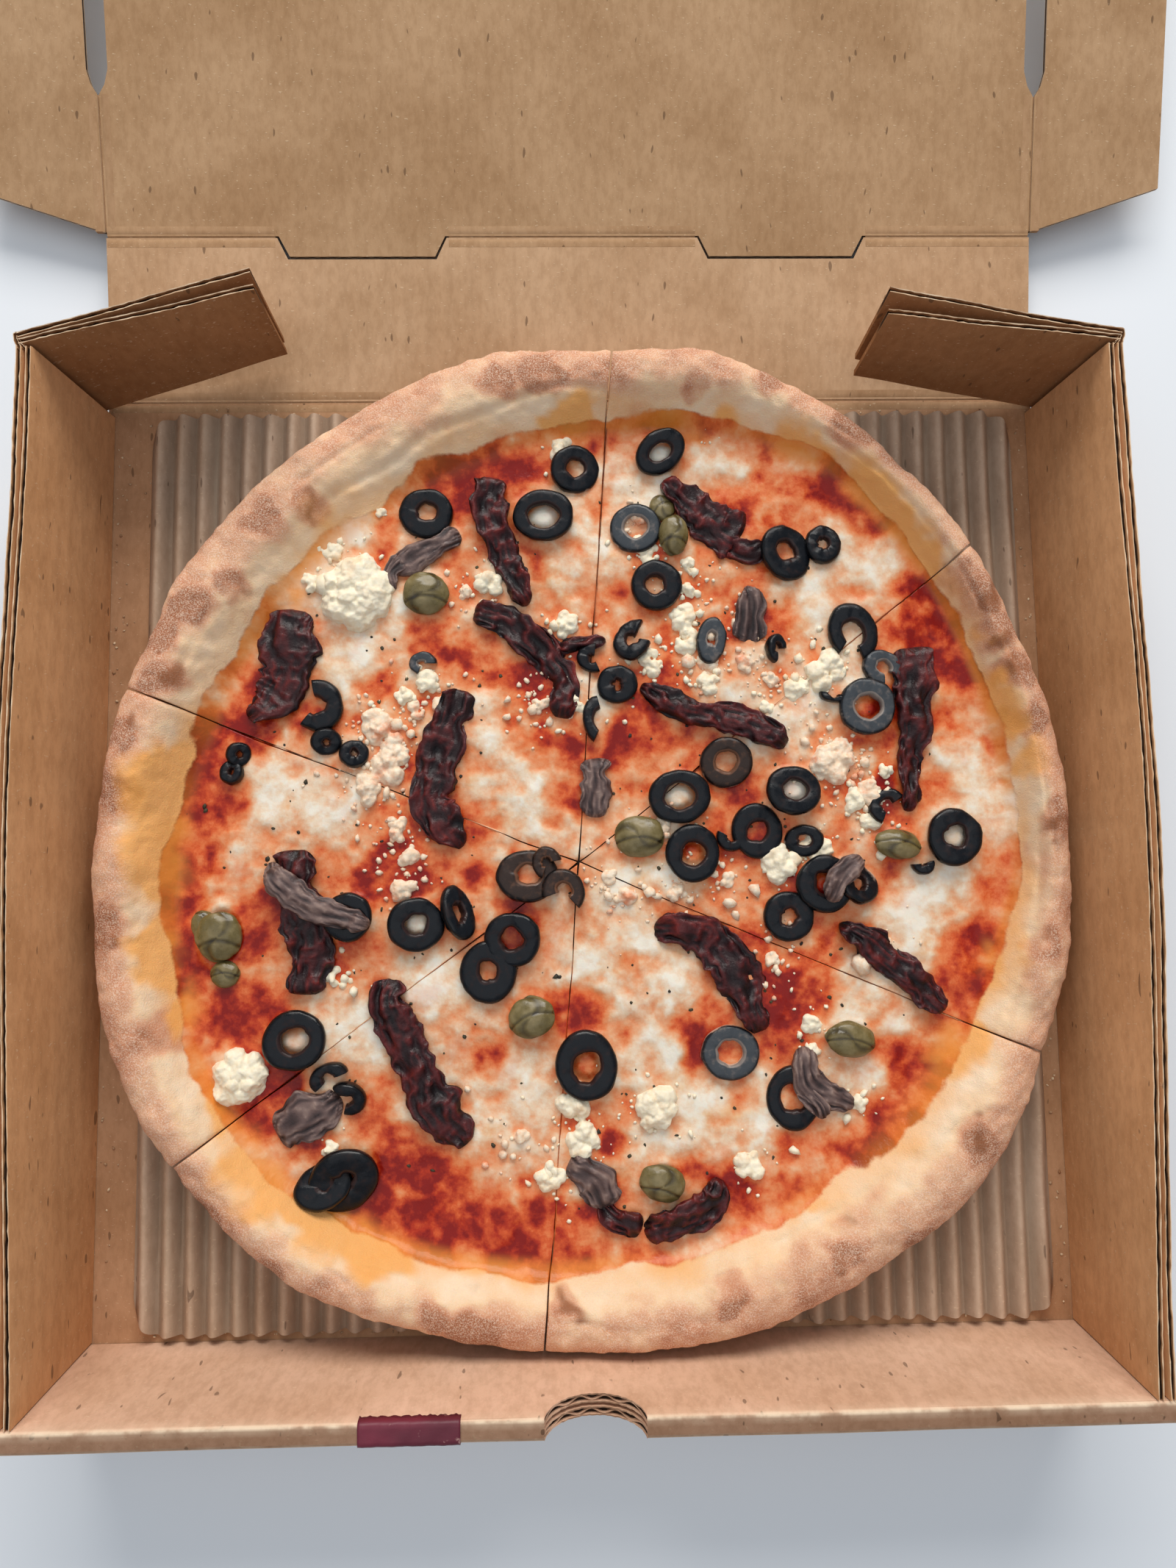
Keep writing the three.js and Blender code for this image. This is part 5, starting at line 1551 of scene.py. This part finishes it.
def knobs(x, y, width, length, tall, count, rng, turn=0, sink=1.0, knob=(0.16, 0.34)):
    """Points and faces of a heap of rough knobs filling a low dome, in mm."""
    heap = []
    size = min(width, length)
    for _ in range(count):
        angle, far = rng.uniform(0, 2 * math.pi), math.sqrt(rng.uniform(0, 1)) * 0.8
        radius = size * rng.uniform(*knob)
        spot = [far * math.cos(angle) * width / 2, far * math.sin(angle) * length / 2, 0]
        spot = turned(np.array([spot]), (0, 0, turn))[0]
        high = (tall - radius) * (1 - far**2.2) * rng.uniform(0.35, 1.0)
        rough = 1 + 0.16 * cloud(KNOB[0] * 2 + rng.uniform(0, 90), 1.1, 141, 1)
        points = KNOB[0] * radius * rough[:, None] * rng.uniform(0.8, 1.1, 3) + spot + (0, 0, high)
        heap.append((points, KNOB[1], np.zeros(len(points))))
    points, faces, marks = joined(heap)
    return points + (x, y, pie_top(x, y) - sink), faces, marks


def fuse(piece, voxel):
    """Melts overlapping lumps into one skin and roughens it with fine grit."""
    pick(piece)
    skin = piece.modifiers.new("skin", "REMESH")
    skin.mode = "VOXEL"
    skin.voxel_size = voxel * MM
    skin.use_smooth_shade = True
    bpy.ops.object.modifier_apply(modifier=skin.name)
    spots, normals = np.empty((2, len(piece.data.vertices) * 3))
    piece.data.vertices.foreach_get("co", spots)
    piece.data.vertices.foreach_get("normal", normals)
    spots = spots.reshape(-1, 3)
    grit = 0.16 * cloud(spots / MM, 1.1, 142, 2) + 0.14 * cloud(spots / MM, 2.6, 143, 1)
    spots = spots + normals.reshape(-1, 3) * grit[:, None] * MM
    piece.data.vertices.foreach_set("co", spots.reshape(-1))
    piece.data.update()


def feta_finish(name, base, stain, amount):
    """Feta, partly tinted by the sauce that has soaked in."""
    material, tree, shader = new_material(name)
    coords = own_coords(tree)
    tint = speckle(tree, coords, 120, 4, 0.65)
    curds = spread(tree, speckle(tree, coords, 700, 3), 0.3, 0.7, 0, 0.6)
    color = blend(tree, curds, base, srgb(246, 238, 216))
    color = blend(tree, spread(tree, tint, 0.5, 0.72, 0, amount), color, stain)
    color = sunk_in(tree, coords, color, 13.2, 0.5, srgb(226, 170, 130))
    dress(tree, shader, Base_Color=color, Roughness=0.62, Subsurface_Weight=0.15,
          Subsurface_Radius=(0.002, 0.0015, 0.001))
    bump(tree, shader, speckle(tree, coords, 1100, 4, 0.7), 0.45, 0.0004)
    return material


white_feta = feta_finish("feta", srgb(240, 224, 192), srgb(228, 178, 124), 0.5)
pink_feta = feta_finish("stained_feta", srgb(236, 202, 168), srgb(222, 128, 80), 0.9)
rng = np.random.default_rng(7)
for number, lump in enumerate([(-71.2, 84, 20, 19, 7.4, 70), (-106.5, -68.5, 13.6, 17, 7, 46)]):
    points, faces, _ = knobs(*lump, rng)
    piece = shown(f"feta_lump_{number + 1}", points, faces, white_feta)
    fuse(piece, 0.4)
    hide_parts(f"feta_{number + 1}")

SMALL_FETA = [
    (22.1, -80.8, 13, 13), (-3.7, -79.4, 11.6, 10), (-0.5, -89.6, 11, 9), (-28.5, 86.6, 8, 11),
    (-3.9, 73.2, 9, 8), (63.2, -4.4, 14.8, 13), (74.5, -0.2, 10, 9), (93.3, 8.9, 8, 7),
    (79.6, 57.3, 13.9, 11), (70.4, 51.9, 8, 7), (33.4, 75.2, 9, 8), (34.6, 67.5, 9, 8),
    (23.2, 60.7, 9, 7), (-76.6, -38.4, 6.5, 10.4), (-79, -90.2, 5, 5), (-11, -99.5, 8, 8),
    (50, -97.5, 8, 12), (71.4, -55.2, 6, 6), (71.9, -63.1, 5, 5), (85, -79.6, 7, 6), (19.9, 99.3, 6, 6),
    (24, 96, 7, 6), (35.9, 92.1, 6, 5), (-83.3, 101.6, 10, 7), (-78.8, 97.7, 7, 6),
    (-85.5, 87.1, 7, 10), (-4.6, 131.6, 9, 8), (41.5, 142.3, 5, 6.5), (-63.6, 110.7, 4, 4),
    (-49, 55, 9, 8), (-56, 50, 7, 6), (-1.5, 47, 6, 9), (42, 54, 8, 7), (36, 84, 6, 6), (31, 3, 5, 5),
    (98, 24, 6, 5), (88, 15, 10, 7), (60, 45, 5, 5),
]
PINK_FETA = [
    (-66, 40.6, 11, 10), (-59.9, 27.9, 11, 11), (-68, 20.6, 9, 10), (-56.2, -11.1, 9, 9),
    (-60, 34, 8, 8), (-58, 8, 7, 9), (-55, 0, 7, 8), (80.6, 27.3, 16, 12), (92.2, 17.3, 10, 8),
    (42, 61, 8, 7), (-44, 47, 6, 6), (-13, 47, 8, 5), (52, 74, 5, 5), (26, 8, 6, 5), (30, -13, 7, 6),
    (14, -14, 6, 6), (9, -8, 5, 5), (46, -10, 6, 5), (83, 30, 8, 7), (-20, -88, 5, 5), (60, -35, 5, 5),
    (54, 60, 6, 6), (-52, 46, 6, 7), (96, -30, 4, 4), (-36, 84, 5, 5), (20, 108, 5, 5), (62, 55, 6, 5),
]
for label, spots, finish in (("small", SMALL_FETA, white_feta), ("stained", PINK_FETA, pink_feta)):
    heaps = []
    for x, y, width, length in spots:
        tall = 2.0 + 0.24 * min(width, length)
        turn = rng.uniform(0, 90)
        count = int(7 + width * 0.9)
        heaps.append(knobs(x, y, width, length, tall, count, rng, turn, 0.9, (0.14, 0.32)))
    points, faces, _ = joined(heaps)
    piece = shown(f"{label}_feta_lumps", points, faces, finish)
    fuse(piece, 0.42)


def crumbs(spots, sizes, rng, flat=0.75, sink=0.25, height=None):
    """A scatter of small rough crumbs at spots (x, y), lying on the pizza or at a given height."""
    scatter = []
    bases = pie_tops(spots) if height is None else np.full(len(spots), height)
    for (x, y), size, base in zip(spots, sizes, bases):
        rough = 1 + 0.32 * rng.uniform(-1, 1, (len(CRUMB[0]), 1))
        points = CRUMB[0] * rough * rng.uniform(0.6, 1.2, 3) * size / 2
        points = turned(points, rng.uniform(0, 360, 3)) * (1, 1, flat)
        points = points + (x, y, base + size * (0.5 * flat - sink))
        scatter.append((points, CRUMB[1], np.zeros(len(points))))
    return joined(scatter)


def around_spots(spots, count, spread_by, rng):
    """Random places close to the given lumps, more of them near the big ones."""
    sizes = np.array([width for _, _, width, _ in spots])
    picks = rng.choice(len(spots), count, p=sizes / sizes.sum())
    return [(spots[i][0] + rng.normal(0, spread_by), spots[i][1] + rng.normal(0, spread_by))
            for i in picks]


places = around_spots(SMALL_FETA, 620, 5.5, rng)
points, faces, _ = crumbs(places, 0.7 + rng.exponential(0.75, len(places)), rng)
piece = shown("feta_crumbs", points, faces, white_feta)
places = around_spots(PINK_FETA, 760, 6, rng)
points, faces, _ = crumbs(places, 0.7 + rng.exponential(0.8, len(places)), rng)
piece = shown("stained_feta_crumbs", points, faces, pink_feta)

# ---- Herbs and pepper -------------------------------------------------------------------
# Dried oregano and cracked pepper: flat dark flakes, a millimetre or two across, anywhere on
# the sauce, with a few bigger ones near the crust.

herb, tree, shader = new_material("dried_herb")
coords = own_coords(tree)
leaf = ramp(tree, speckle(tree, coords, 300, 2), (0.35, srgb(34, 26, 18)), (0.65, srgb(78, 70, 40)))
dress(tree, shader, Base_Color=leaf, Roughness=0.7)
bump(tree, shader, speckle(tree, coords, 2000, 2), 0.4, 0.0002)
FLECKS = 230
BIG_FLECKS = [(-118.6, 14.6), (-126.5, 12.4), (-132.5, 15.9), (-119, 16), (-125, 14), (-131, 18)]
angles = rng.uniform(0, 2 * math.pi, FLECKS)
far = np.sqrt(rng.uniform(0, 1, FLECKS)) * 118
places = [(PIE_X + r * math.cos(a), PIE_Y + r * math.sin(a)) for a, r in zip(angles, far)] + BIG_FLECKS
sizes = np.concatenate([rng.uniform(0.6, 1.7, FLECKS), rng.uniform(1.8, 2.6, len(BIG_FLECKS))])
points, faces, _ = crumbs(places, sizes, rng, flat=0.35, sink=0.1)
piece = shown("herb_flakes", points, faces, herb)

# ---- Crumbs in the tray -----------------------------------------------------------------
# Flour and bits of crust have rolled into the crease round the floor of the box.

BESIDE, ACROSS = 150, 90
side_y = rng.uniform(-146, 146, BESIDE)
side_x = np.where(rng.uniform(0, 1, BESIDE) < 0.5, -1, 1) * (153.6 - rng.exponential(2.2, BESIDE))
row_x = rng.uniform(-145, 145, ACROSS)
in_front = rng.uniform(0, 1, ACROSS) < 0.6
row_y = np.where(in_front, -149.6 + rng.exponential(0.5, ACROSS), 152 - rng.exponential(1.2, ACROSS))
places = list(zip(side_x, side_y)) + list(zip(row_x, row_y))
points, faces, _ = crumbs(places, rng.uniform(0.35, 1.25, len(places)), rng, height=THICK)
crumb_finish, tree, shader = new_material("crust_crumb")
coords = own_coords(tree)
tone = ramp(tree, speckle(tree, coords, 90, 2), (0.35, srgb(150, 104, 66)), (0.65, srgb(238, 214, 176)))
dress(tree, shader, Base_Color=tone, Roughness=0.85)
bump(tree, shader, speckle(tree, coords, 1500, 2), 0.3, 0.0002)
piece = shown("tray_crumbs", points, faces, crumb_finish)
